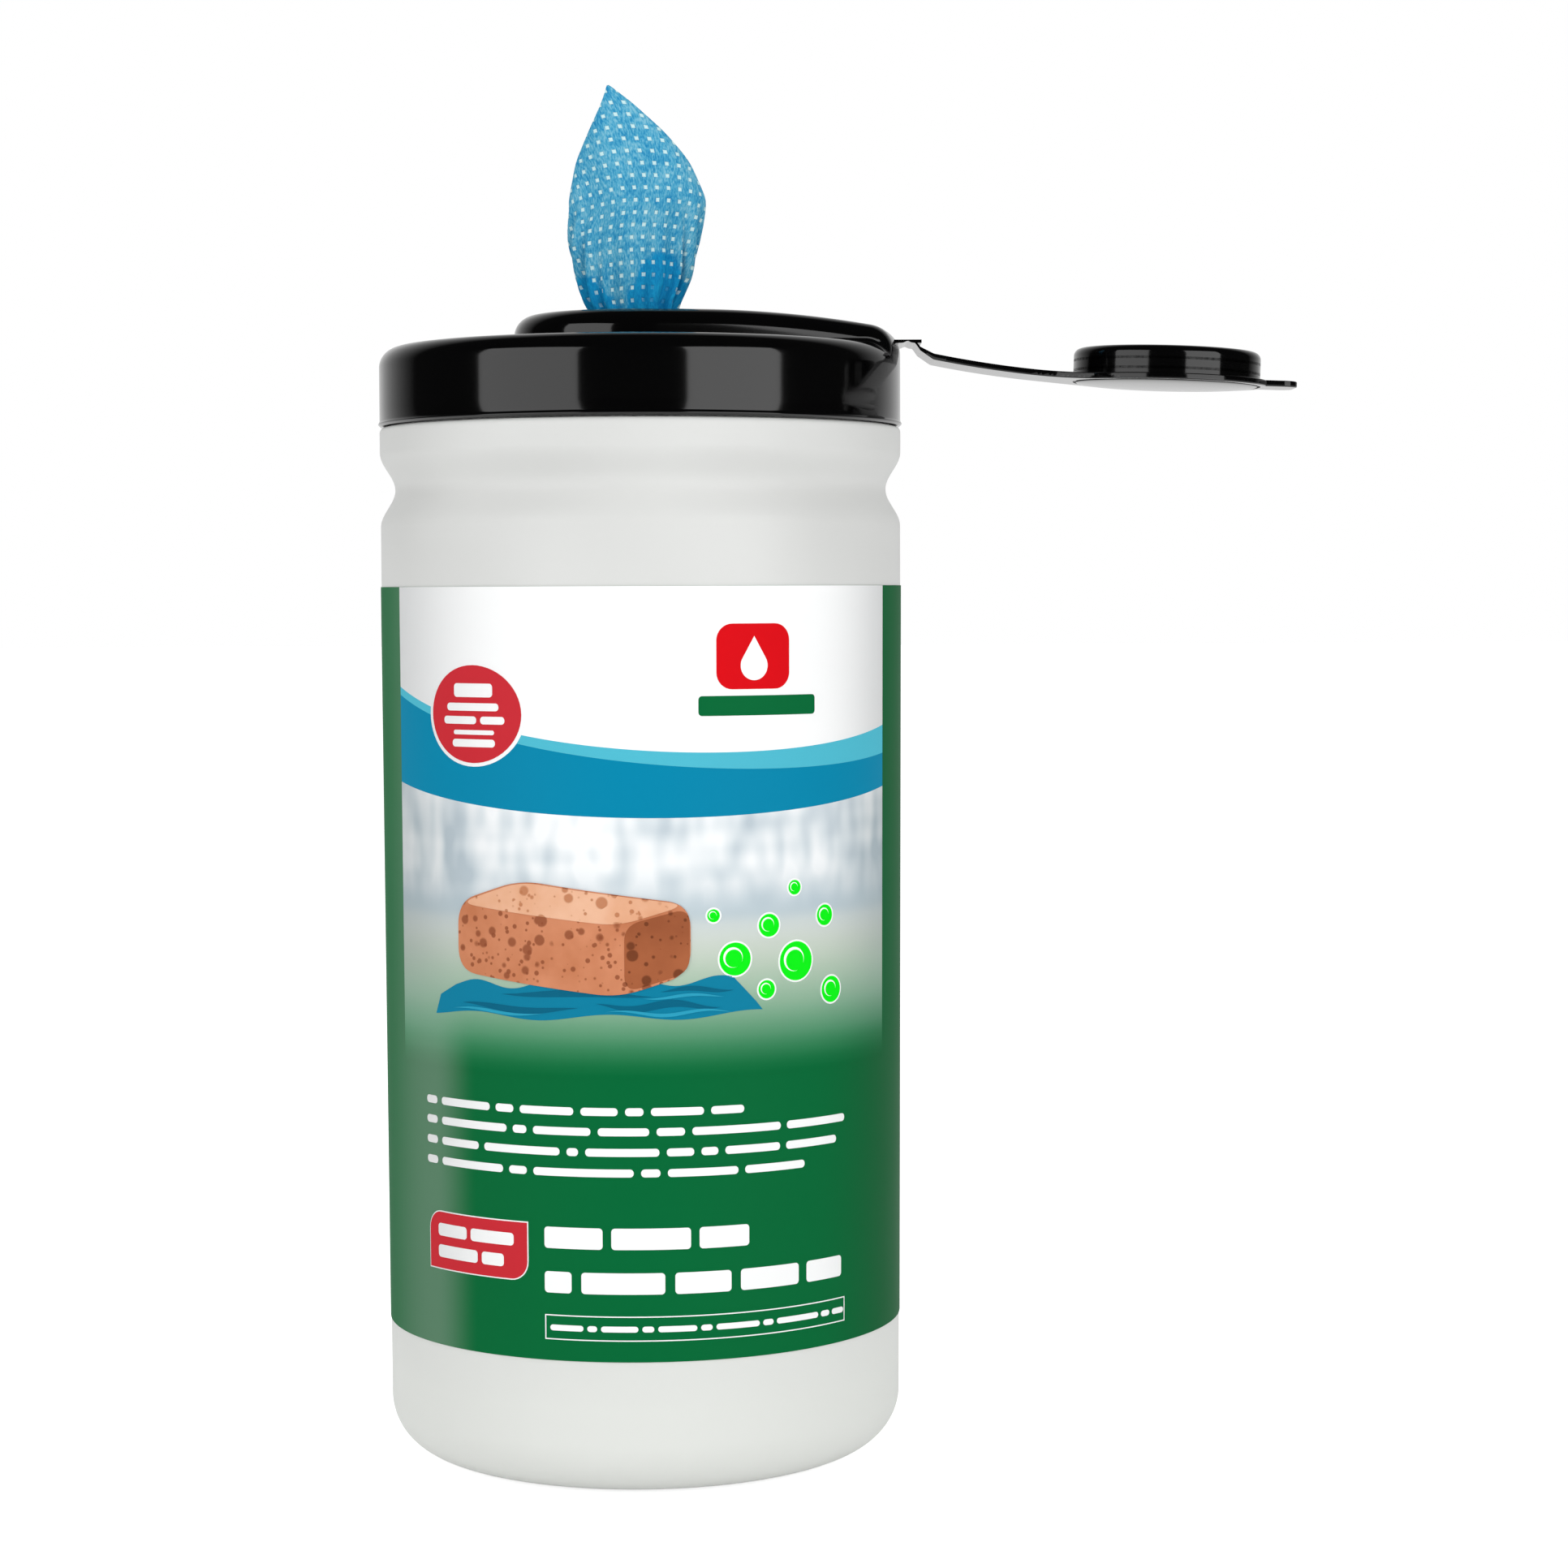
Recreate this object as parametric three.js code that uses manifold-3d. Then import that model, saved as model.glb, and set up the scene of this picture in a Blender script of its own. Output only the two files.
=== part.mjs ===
// A canister of disinfecting wipes: a blow-moulded body with a wrap label, a snap-on lid with a
// dispensing well and star-cut opening, a hinged flap with a ring plug, the roll of wipes inside,
// and the corner of the first wipe pulled up through the opening.
// Millimetres, +Z up, origin at the centre of the base, the flap's hinge towards +X, front towards -Y.
import * as THREE from "three";
import { mergeVertices } from "three/addons/utils/BufferGeometryUtils.js";
import Module from "manifold-3d";

// Body
const BODY_R = 59.9;            // wall radius from the label's top edge upwards
const WALL_DRAFT = 0.7;         // how much less it is at the base
const SHOULDER_OUT = 0.1;       // how much more it is just under the lid
const FOOT_R = BODY_R - WALL_DRAFT;
const SHOULDER_R = BODY_R + SHOULDER_OUT;
const CORNER_R = 12.6;          // rounding between base and wall
const WALL = 1.3;               // thickness of the body's wall and base
const BASE_GROOVE = { inset: 17.2, width: 8, depth: 0.8, slope: 1.5 };
const BODY_H = 236;             // up to the ledge that the lid's lower edge stands over
const LEDGE_Z = BODY_H;
const GRIP_DROP = 14.2;         // from the ledge down to the middle of the grip groove
const GRIP_Z = LEDGE_Z - GRIP_DROP;
const GRIP_DEPTH = 3.4;         // how far the grip groove goes in
const GRIP_HALF = 8.5;          // half the grip groove's height
const GRIP_STEPS = 8;
const LEDGE_EDGE_R = 1.2;       // rounding of the body's top edge
const NECK_STEP = 2.6;          // width of the ledge round the neck
const NECK_R = SHOULDER_R - NECK_STEP;
const NECK_WALL = 1.3;          // thickness of the neck
const NECK_BEAD_OUT = 0.6;      // how far the neck's snap bead stands out
const NECK_BEAD_RISE = 8.2;     // from the ledge up to the middle of the neck's snap bead
const NECK_BEAD_Z = LEDGE_Z + NECK_BEAD_RISE;
const BEAD_HALF = 0.4;          // half the height of a snap bead's crest
const BEAD_SLOPE = 1;           // height of a snap bead's slopes

// Label
const LABEL_LOW_Z = 30.9;
const LABEL_DROP = 36.4;        // from the ledge down to the label's top edge
const LABEL_TOP_Z = LEDGE_Z - LABEL_DROP;
const LABEL_THICK = 0.15;
const PRINT_THICK = 0.1;        // thickness of each printed field
const SKIN_GAP = 0.03;          // between two skins that lie on each other
const PANEL = { from: -62, to: 66.5, height: 106.6 }; // degrees round from the front, and height
const PANEL_LOW_Z = LABEL_TOP_Z - PANEL.height;
const PICTURE_RISE = 12;        // from the panel's foot up to where its picture stands out
const LIGHT_WAVE = { left: 22.3, middle: 35.4, right: 31.4 };   // below the label's top edge
const LIGHT_BAND = { left: 1.8, middle: 2.8, right: 6.3 };      // height of the light band
const DARK_BAND = { left: 19.5, middle: 11.8, right: 7.5 };     // and of the dark band under it
const BADGE = { at: -35.5, drop: 27.8, radius: 10.6 };
const EMBLEM = { at: 28, drop: 15.1, radius: 6.6 };
const TAG = { from: -51, to: -23.5, rise: 17.6, height: 12, corner: 3 };
const TITLE_BARS = [
  { from: -19.4, to: 22, rise: 24.6, height: 4.5 },
  { from: -19.4, to: 44, rise: 14.6, height: 4.5 },
];

// Roll of wipes
const ROLL_GAP = 5.7;           // between the roll and the wall at its foot
const ROLL_R = FOOT_R - ROLL_GAP;
const ROLL_H = 200;
const BORE_R = 14;              // the roll is drawn from its middle
const TURN_PITCH = 6.5;         // distance between the turns that stand proud on the roll's end
const TURN_DEPTH = 0.8;
const REST_GAP = 0.3;           // between pieces that rest on each other

// Lid
const LID_R = SHOULDER_R;       // flush with the body
const LID_LIP = 0.3;            // the small bead along the lid's lower edge
const LID_LIP_H = 1.2;
const LID_H = 18.2;             // from the ledge up to the lid's flat top
const LID_TOP_Z = LEDGE_Z + LID_H;
const LID_WALL = 1.6;
const LID_EDGE_R = 4.5;         // rounding between the skirt and the top
const LEDGE_GAP = 0.2;          // between the body's ledge and the lid's lower edge
const SNAP_GAP = 0.1;           // running clearance between the two snap beads
const LID_BEAD_DROP = 4.2;      // the lid's snap bead is that far below the neck's
const LID_BEAD_Z = NECK_BEAD_Z - LID_BEAD_DROP;
const SEAL_WALL = 1.2;          // ring that seals inside the neck
const SEAL_DEPTH = 4;

// Raised platform on the lid
const PLATFORM_R = 29;          // its round end, about the lid's middle
const PLATFORM_TURN = 10.1;     // degrees that its sides close in towards the hinge
const PLATFORM_CORNER = 6;      // rounding of its two corners at the lid's rim
const PLATFORM_H = 7.5;
const PLATFORM_TOP_Z = LID_TOP_Z + PLATFORM_H;
const PLATFORM_SLOPE = 41.3;    // length of its top that falls away towards the hinge
const PLATFORM_FALL = 3.5;      // how far it has fallen where its edge rounding starts
const PLATFORM_EDGE_R = 4.7;    // rounding of its top edge
const PLATFORM_FALL_X = LID_R - PLATFORM_EDGE_R - PLATFORM_SLOPE;
const PLATFORM_DIP = 4.7;       // it runs down that far past the lid's rounded edge
const PLATFORM_FOOT_Z = LID_TOP_Z - LID_EDGE_R - PLATFORM_DIP;
const PLATFORM_EDGE_STEPS = 4;

// Dispensing well and its star-cut floor
const HINGE_OUT = 1.4;          // from the lid's rim out to the hinge axis
const HINGE_RISE = 1.4;         // and from its flat top up
const HINGE_X = LID_R + HINGE_OUT;
const HINGE_Z = LID_TOP_Z + HINGE_RISE;
const PLUG_X = 1;               // the plug's middle is that far off the lid's
const WELL_GAP = 0.45;          // round the plug
const WELL_WALL = 1.5;
const WELL_FLOOR_DROP = 0.2;    // from the lid's flat top down to the well's floor
const WELL_FLOOR_Z = LID_TOP_Z - WELL_FLOOR_DROP;
const WELL_FLOOR = 1.4;         // thickness of the floor
const HOLE_R = 5.5;             // opening that the wipe is drawn through
const SLIT_R = 14;              // reach of the star's slits
const SLIT_W = 0.8;
const SLITS = 4;                // cuts right across, so twice as many arms

// Flap
const CLOSE_ANGLE = 182;        // degrees from open, as shown, to closed
const FLAP_GAP = 0.4;           // between the closed flap and the platform
const FLAP_THICK = 1.4;
const WEB_THICK = 0.7;          // the thin web at the hinge
const WEB_GAP = 0.2;            // from the hinge axis to the end of each half of the web
const WEB_DROP = 0.05;          // each half of the web lies this far under the hinge axis when open
const WEB_RUN = 1.6;            // length of the flap's half of the web
const STEP_RUN = 1.2;           // the step behind the web, along the flap
const STEP_RISE = 1.5;          // and across it
const STRIP_HALF = 10;          // half the width of the strip and the web
const DISC_R = 23.3;
const TAB_OUT = 6.4;            // the finger tab beyond the disc
const TAB_HALF = 7;
const TAB_CORNER_R = 3.5;
const TAB_STEP = 0.15;          // the tab is that much thicker on its inner side
const STRIP_BLEND = 14;         // how far from the disc the strip widens
const PLUG_R = 21.5;
const PLUG_WALL = 2;
const PLUG_H = 6.4;
const PLUG_GROOVE = 0.25;       // fine grooves round the plug
const DOME = 0.9;               // crown of the disc's outer face
const RING_R = 21.2;            // fine groove round that crown
const RING_W = 0.7;
const RING_DEPTH = 0.35;

// Wipe
const WIPE_THICK = 0.9;
const WIPE_CLEARANCE = 0.3;     // inside the star's opening
const WIPE_FOLDS = 5;
const WIPE_STEPS = 18;
const WIPE_FREE = 2;            // over the well's floor, where it starts to spread

const TURNS = 48;               // facets round the large pieces
const SMALL_TURNS = 36;
const DEGREES = Math.PI / 180;
const LID_LOW_Z = LEDGE_Z + LEDGE_GAP;
const LID_UNDER_Z = LID_TOP_Z - LID_WALL;

const wasm = await Module();
wasm.setup();

// A closed geometry as a solid that can be cut and joined.
function solid(geometry) {
  const loose = geometry.index ? geometry.toNonIndexed() : geometry.clone();
  loose.deleteAttribute("normal");
  loose.deleteAttribute("uv");
  const merged = mergeVertices(loose, 1e-4);
  const index = merged.index.array;
  const triVerts = [];
  for (let i = 0; i < index.length; i += 3) {
    const [a, b, c] = [index[i], index[i + 1], index[i + 2]];
    if (a !== b && b !== c && a !== c) triVerts.push(a, b, c);
  }
  return new wasm.Manifold(new wasm.Mesh({
    numProp: 3,
    vertProperties: merged.attributes.position.array,
    triVerts: new Uint32Array(triVerts),
  }));
}

// A cut or joined solid as a geometry with flat faces.
function faceted(body) {
  const mesh = body.getMesh();
  const indexed = new THREE.BufferGeometry();
  indexed.setAttribute("position", new THREE.BufferAttribute(Float32Array.from(mesh.vertProperties), 3));
  indexed.setIndex(new THREE.BufferAttribute(Uint32Array.from(mesh.triVerts), 1));
  const geometry = indexed.toNonIndexed();
  geometry.computeVertexNormals();
  return geometry;
}

// A profile of [radius, height] pairs turned about the Z axis.
function turned(profile, turns = TURNS) {
  const points = profile.map(([r, z]) => new THREE.Vector2(r, z));
  return new THREE.LatheGeometry(points, turns).rotateX(Math.PI / 2);
}

// A flat outline in X and Y, drawn up between two heights.
function drawnUp(shape, low, high, curveSegments = 12) {
  const depth = high - low;
  return new THREE.ExtrudeGeometry(shape, { depth, bevelEnabled: false, curveSegments })
    .translate(0, 0, low);
}

// Points on an arc, from one angle to another, both in degrees.
function arc(cx, cz, radius, from, to, steps) {
  return Array.from({ length: steps + 1 }, (_, i) => {
    const a = (from + (to - from) * i / steps) * DEGREES;
    return [cx + radius * Math.cos(a), cz + radius * Math.sin(a)];
  });
}

// A closed mesh from rings of equally many points, each ring closed, with a fan over both ends.
function lofted(rings) {
  const count = rings[0].length;
  const positions = [];
  const triangle = (a, b, c) => positions.push(...a, ...b, ...c);
  for (let k = 0; k + 1 < rings.length; k++) {
    for (let i = 0; i < count; i++) {
      const j = (i + 1) % count;
      triangle(rings[k][i], rings[k][j], rings[k + 1][j]);
      triangle(rings[k][i], rings[k + 1][j], rings[k + 1][i]);
    }
  }
  const cap = (ring, up) => {
    for (let i = 0; i < count / 2 - 1; i++) {
      const [a, b] = [ring[i], ring[i + 1]];
      const [d, c] = [ring[count - 1 - i], ring[count - 2 - i]];
      if (up) { triangle(a, b, c); triangle(a, c, d); }
      else { triangle(a, c, b); triangle(a, d, c); }
    }
  };
  cap(rings[0], false);
  cap(rings[rings.length - 1], true);
  const geometry = new THREE.BufferGeometry();
  geometry.setAttribute("position", new THREE.Float32BufferAttribute(positions, 3));
  geometry.computeVertexNormals();
  return geometry;
}

function material(color, roughness) {
  return new THREE.MeshStandardMaterial({ color, roughness, metalness: 0 });
}

function piece(name, geometry, look) {
  const mesh = new THREE.Mesh(geometry, look);
  mesh.name = name;
  return mesh;
}

// The wall's radius below the grip groove: it widens evenly from the foot to the label's top.
function wallRadius(z) {
  const share = (z - CORNER_R) / (LABEL_TOP_Z - CORNER_R);
  return FOOT_R + (BODY_R - FOOT_R) * Math.min(share, 1);
}

function gripPoints(inset) {
  return Array.from({ length: GRIP_STEPS + 1 }, (_, i) => {
    const z = GRIP_Z - GRIP_HALF + 2 * GRIP_HALF * i / GRIP_STEPS;
    const bell = 0.5 - 0.5 * Math.cos(2 * Math.PI * i / GRIP_STEPS);
    const wall = BODY_R + (SHOULDER_R - BODY_R) * i / GRIP_STEPS;
    return [wall - GRIP_DEPTH * bell - inset, z];
  });
}

function canisterBody() {
  const neckIn = NECK_R - NECK_WALL;
  const neckTop = LID_UNDER_Z - REST_GAP;
  const { inset, width, depth, slope } = BASE_GROOVE;
  const outer = FOOT_R - inset;
  const inner = outer - width;
  const cornerX = FOOT_R - CORNER_R;
  return turned([
    [0, 0],
    [inner, 0], [inner + slope, depth], [outer - slope, depth], [outer, 0],
    ...arc(cornerX, CORNER_R, CORNER_R, -90, 0, 6),
    [BODY_R, LABEL_TOP_Z],
    ...gripPoints(0),
    ...arc(SHOULDER_R - LEDGE_EDGE_R, LEDGE_Z - LEDGE_EDGE_R, LEDGE_EDGE_R, 0, 90, 3),
    [NECK_R, LEDGE_Z],
    [NECK_R, NECK_BEAD_Z - BEAD_HALF - BEAD_SLOPE],
    [NECK_R + NECK_BEAD_OUT, NECK_BEAD_Z - BEAD_HALF],
    [NECK_R + NECK_BEAD_OUT, NECK_BEAD_Z + BEAD_HALF],
    [NECK_R, NECK_BEAD_Z + BEAD_HALF + BEAD_SLOPE],
    ...arc(NECK_R - NECK_WALL / 2, neckTop - NECK_WALL / 2, NECK_WALL / 2, 0, 180, 4),
    [neckIn, LEDGE_Z - WALL],
    ...gripPoints(WALL).reverse(),
    [BODY_R - WALL, LABEL_TOP_Z],
    ...arc(cornerX, CORNER_R, CORNER_R - WALL, 0, -90, 5),
    [0, WALL],
  ]);
}

// The label is a sleeve right round the body, printed in fields that lie on each other.
function labelSleeve() {
  const low = wallRadius(LABEL_LOW_Z) + SKIN_GAP;
  const top = wallRadius(LABEL_TOP_Z) + SKIN_GAP;
  return turned([
    [low, LABEL_LOW_Z], [low + LABEL_THICK, LABEL_LOW_Z],
    [top + LABEL_THICK, LABEL_TOP_Z], [top, LABEL_TOP_Z], [low, LABEL_LOW_Z],
  ]);
}

// A printed field: a thin skin on the sleeve between two angles, with its lower and upper edge as
// functions of the angle. It bends at the sleeve's own facets and at its own columns.
function printed(columns, low, high, layer) {
  const facet = 360 / TURNS;
  const first = columns[0];
  const last = columns[columns.length - 1];
  const bends = [];
  for (let a = Math.ceil(first / facet) * facet; a < last; a += facet) bends.push(a);
  const near = (a) => columns.some((c) => Math.abs(c - a) < 0.2);
  const all = [...columns, ...bends.filter((a) => !near(a))].sort((a, b) => a - b);
  const lift = SKIN_GAP + LABEL_THICK + layer * (PRINT_THICK + SKIN_GAP) + SKIN_GAP;
  const point = (angle, z, out) => {
    const r = wallRadius(z) + lift + out;
    return [r * Math.sin(angle * DEGREES), -r * Math.cos(angle * DEGREES), z];
  };
  const rings = all.map((a) => [
    point(a, high(a), 0), point(a, low(a), 0),
    point(a, low(a), PRINT_THICK), point(a, high(a), PRINT_THICK),
  ]);
  return lofted(rings.reverse());
}

function evenColumns(from, to, step = 3) {
  const count = Math.ceil((to - from) / step);
  return Array.from({ length: count + 1 }, (_, i) => from + (to - from) * i / count);
}

// Heights at the panel's left edge, its middle and its right edge, lower than others by a band.
function lowered(heights, band) {
  return {
    left: heights.left - band.left,
    middle: heights.middle - band.middle,
    right: heights.right - band.right,
  };
}

// A smooth line across the panel through its heights at the left edge, the front and the right edge.
function acrossPanel({ left, middle, right }) {
  const curve = new THREE.QuadraticBezierCurve(
    new THREE.Vector2(PANEL.from, left),
    new THREE.Vector2(0, 2 * middle - (left + right) / 2),
    new THREE.Vector2(PANEL.to, right));
  return (angle) => curve.getPoint((angle - PANEL.from) / (PANEL.to - PANEL.from)).y;
}

function roundField({ at, drop, radius }, layer) {
  const z = LABEL_TOP_Z - drop;
  const half = radius / BODY_R / DEGREES;
  const steps = 12;
  const edge = 0.97;
  const columns = Array.from({ length: steps + 1 }, (_, i) =>
    at + half * Math.sin((i / steps - 0.5) * Math.PI) * edge);
  const rise = (a) => radius * Math.sqrt(1 - ((a - at) / half) ** 2);
  return printed(columns, (a) => z - rise(a), (a) => z + rise(a), layer);
}

// A field with two rounded corners, upper left and lower right, as on a tag.
function tagField({ from, to, rise, height, corner }, layer) {
  const low = LABEL_LOW_Z + rise;
  const high = low + height;
  const turn = corner / BODY_R / DEGREES;
  const cut = (away) => corner - corner * Math.sqrt(1 - (1 - Math.min(away / turn, 1)) ** 2);
  const steps = [0.03, 0.15, 0.4, 0.7, 1];
  const columns = [...steps.map((s) => from + s * turn), ...steps.map((s) => to - s * turn).reverse()];
  return printed(columns, (a) => low + cut(to - a), (a) => high - cut(a - from), layer);
}

function labelFields() {
  const across = evenColumns(PANEL.from, PANEL.to);
  const level = (z) => () => z;
  const top = { left: LABEL_TOP_Z, middle: LABEL_TOP_Z, right: LABEL_TOP_Z };
  const lightWave = lowered(top, LIGHT_WAVE);
  const darkWave = lowered(lightWave, LIGHT_BAND);
  const lightTop = acrossPanel(lightWave);
  const darkTop = acrossPanel(darkWave);
  const foot = acrossPanel(lowered(darkWave, DARK_BAND));
  const below = (line) => (a) => line(a) - SKIN_GAP;
  const green = material(0x006b37, 0.45);
  const white = material(0xf4f5f5, 0.45);
  const red = material(0xc8333a, 0.45);
  const fields = [
    piece("label_sleeve", labelSleeve(), green),
    piece("label_panel", printed(across, level(PANEL_LOW_Z), level(LABEL_TOP_Z), 0), white),
    piece("label_light_wave", printed(across, darkTop, lightTop, 1), material(0x54bcd2, 0.45)),
    piece("label_dark_wave", printed(across, foot, below(darkTop), 1), material(0x008bb0, 0.45)),
    piece("label_picture", printed(across, level(PANEL_LOW_Z + PICTURE_RISE), below(foot), 1),
      material(0xb9c4c8, 0.45)),
    piece("label_badge", roundField(BADGE, 2), red),
    piece("label_emblem", roundField(EMBLEM, 1), green),
    piece("label_tag", tagField(TAG, 0), red),
  ];
  TITLE_BARS.forEach(({ from, to, rise, height }, i) => {
    const low = LABEL_LOW_Z + rise;
    const bar = printed(evenColumns(from, to), level(low), level(low + height), 0);
    fields.push(piece(`label_bar_${i + 1}`, bar, white));
  });
  return fields;
}

// The roll stands on the base; on its end every few turns stand a little proud.
function wipesRoll() {
  const low = WALL + REST_GAP;
  const top = low + ROLL_H;
  const turns = [];
  const count = Math.floor((ROLL_R - BORE_R) / TURN_PITCH);
  const pitch = (ROLL_R - BORE_R) / count;
  for (let i = 0; i < count; i++) {
    const r = ROLL_R - i * pitch;
    turns.push([r, top - TURN_DEPTH], [r - pitch * 0.3, top], [r - pitch * 0.7, top]);
  }
  const edge = (FOOT_R - ROLL_R < CORNER_R) ? CORNER_R - (FOOT_R - ROLL_R) : 0;
  return turned([
    [BORE_R, low], [ROLL_R - edge, low], [ROLL_R, low + edge],
    ...turns, [BORE_R, top - TURN_DEPTH], [BORE_R, low],
  ], SMALL_TURNS);
}

// Height of the platform's top: level round the well, then falling towards the hinge.
function platformTop(x) {
  const along = Math.max(x - PLATFORM_FALL_X, 0) / PLATFORM_SLOPE;
  return PLATFORM_TOP_Z - PLATFORM_FALL * along ** 2;
}

// Half of the platform's outline, from its round end over one side to the middle of the rim. It
// starts and ends just off the middle, so that the other half mirrors it point for point.
function platformHalf() {
  const lean = PLATFORM_TURN * DEGREES;
  const side = PLATFORM_R - PLATFORM_CORNER;
  const out = LID_R - PLATFORM_CORNER;
  const along = Math.sqrt(out ** 2 - side ** 2);
  const cx = side * Math.sin(lean) + along * Math.cos(lean);
  const cy = side * Math.cos(lean) - along * Math.sin(lean);
  const rim = Math.atan2(cy, cx) / DEGREES;
  const round = arc(0, 0, PLATFORM_R, 177, 90 - PLATFORM_TURN, 14);
  const corner = arc(cx, cy, PLATFORM_CORNER, 90 - PLATFORM_TURN, rim, 4);
  const [lastX, lastY] = round[round.length - 1];
  const [nextX, nextY] = corner[0];
  const straight = [0.25, 0.5, 0.75].map((s) =>
    [lastX + (nextX - lastX) * s, lastY + (nextY - lastY) * s]);
  return [...round, ...straight, ...corner, ...arc(0, 0, LID_R, rim, 2, 3).slice(1)];
}

// The platform or, with an inset, the hollow under it: rings that draw in over the rounded edge.
function platformSolid(inset, low, drop) {
  const half = platformHalf();
  const mirrored = half.map(([x, y]) => [x, -y]).reverse();
  const whole = [...half, ...mirrored].reverse();
  const count = whole.length;
  const normals = whole.map((_, i) => {
    const [ax, ay] = whole[(i + count - 1) % count];
    const [bx, by] = whole[(i + 1) % count];
    const length = Math.hypot(bx - ax, by - ay);
    return [(by - ay) / length, -(bx - ax) / length];
  });
  const ring = (inward, height) => whole.map(([x, y], i) => {
    const px = x - normals[i][0] * (inset + inward);
    const py = y - normals[i][1] * (inset + inward);
    return [px, py, height(px)];
  });
  const radius = PLATFORM_EDGE_R - inset;
  const rings = [ring(0, () => low)];
  for (let i = 0; i <= PLATFORM_EDGE_STEPS; i++) {
    const a = Math.PI / 2 * i / PLATFORM_EDGE_STEPS;
    const fall = radius * (1 - Math.sin(a)) + drop;
    rings.push(ring(radius * (1 - Math.cos(a)), (x) => platformTop(x) - fall));
  }
  return lofted(rings);
}

function lidShell() {
  const skirtIn = LID_R - LID_WALL;
  const beadIn = NECK_R + NECK_BEAD_OUT + SNAP_GAP;
  const sealOut = NECK_R - NECK_WALL - REST_GAP;
  const sealIn = sealOut - SEAL_WALL;
  const edge = LID_EDGE_R;
  return turned([
    [0, LID_UNDER_Z],
    [sealIn, LID_UNDER_Z], [sealIn, LID_UNDER_Z - SEAL_DEPTH],
    [sealOut, LID_UNDER_Z - SEAL_DEPTH], [sealOut, LID_UNDER_Z],
    [skirtIn - LID_WALL, LID_UNDER_Z], [skirtIn, LID_UNDER_Z - LID_WALL],
    [skirtIn, LID_BEAD_Z + BEAD_HALF + BEAD_SLOPE], [beadIn, LID_BEAD_Z + BEAD_HALF],
    [beadIn, LID_BEAD_Z - BEAD_HALF], [skirtIn, LID_BEAD_Z - BEAD_HALF - BEAD_SLOPE],
    [skirtIn, LID_LOW_Z],
    [LID_R + LID_LIP, LID_LOW_Z], [LID_R + LID_LIP, LID_LOW_Z + LID_LIP_H / 2],
    [LID_R, LID_LOW_Z + LID_LIP_H],
    ...arc(LID_R - edge, LID_TOP_Z - edge, edge, 0, 90, 5),
    [0, LID_TOP_Z],
  ]);
}

function upright(radius, low, high, turns = SMALL_TURNS) {
  return solid(turned([[0, low], [radius, low], [radius, high], [0, high]], turns));
}

// Lid: turned shell and hollow platform, a cup hung in it for the plug, and the star-cut floor.
function lid() {
  const wellR = PLUG_R + WELL_GAP;
  const above = PLATFORM_TOP_Z + PLATFORM_EDGE_R;
  const under = WELL_FLOOR_Z - WELL_FLOOR;
  const within = upright(LID_R, PLATFORM_FOOT_Z - LID_WALL, above, TURNS);
  const outside = solid(platformSolid(0, PLATFORM_FOOT_Z, 0)).intersect(within);
  const neckRoom = upright(LID_R - LID_WALL, PLATFORM_FOOT_Z - 1, LID_UNDER_Z, TURNS);
  const hollow = solid(platformSolid(LID_WALL, LID_UNDER_Z - 1, LID_WALL));
  const cup = upright(wellR + WELL_WALL, under, above).translate(PLUG_X, 0, 0);
  const cupInPlatform = cup.intersect(solid(platformSolid(0, under, 0)));
  const well = upright(wellR, WELL_FLOOR_Z, above).translate(PLUG_X, 0, 0);
  const hole = upright(HOLE_R, under - 1, WELL_FLOOR_Z + 1, SMALL_TURNS / 2).translate(PLUG_X, 0, 0);
  let body = solid(lidShell())
    .add(outside.subtract(neckRoom))
    .subtract(hollow)
    .add(cupInPlatform)
    .subtract(well)
    .subtract(hole);
  for (let i = 0; i < SLITS; i++) {
    const slit = solid(new THREE.BoxGeometry(2 * SLIT_R, SLIT_W, 2 * WELL_FLOOR + 2)
      .rotateZ((i + 0.5) * Math.PI / SLITS)
      .translate(PLUG_X, 0, WELL_FLOOR_Z - WELL_FLOOR / 2));
    body = body.subtract(slit);
  }
  // The lid's half of the hinge web stands out from the platform's end, below the hinge axis.
  const webIn = HINGE_X - WEB_GAP - PLATFORM_EDGE_R;
  const webLength = PLATFORM_EDGE_R;
  const web = solid(new THREE.BoxGeometry(webLength, 2 * STRIP_HALF, WEB_THICK)
    .translate(webIn + webLength / 2, 0, HINGE_Z - WEB_DROP - WEB_THICK / 2));
  return faceted(body.add(web.subtract(hollow)));
}

// The closed flap's section along X: inner face from the hinge to the tab, and back outside.
function flapSection() {
  const inner = (x) => platformTop(x) + FLAP_GAP;
  const discX = PLUG_X - DISC_R;
  const tabX = discX - TAB_OUT;
  const start = HINGE_X - WEB_GAP;
  const level = HINGE_Z + WEB_DROP;
  const stepX = start - WEB_RUN;
  const stripEnd = LID_R - PLATFORM_EDGE_R;
  const steps = 8;
  const strip = Array.from({ length: steps + 1 }, (_, i) => {
    const x = stripEnd + (PLATFORM_FALL_X - stripEnd) * i / steps;
    return [x, inner(x)];
  });
  const flat = inner(discX);
  return [
    [start, level], [stepX, level + WEB_DROP], [stepX - STEP_RUN, level + STEP_RISE],
    ...strip,
    [discX, flat], [discX - TAB_STEP, flat - TAB_STEP], [tabX, flat - TAB_STEP],
    [tabX, flat + FLAP_THICK],
    ...strip.map(([x, z]) => [x, z + FLAP_THICK]).reverse(),
    [stepX - STEP_RUN, level + STEP_RISE + FLAP_THICK],
    [stepX, level + WEB_THICK + WEB_DROP], [start, level + WEB_THICK],
  ];
}

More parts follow.
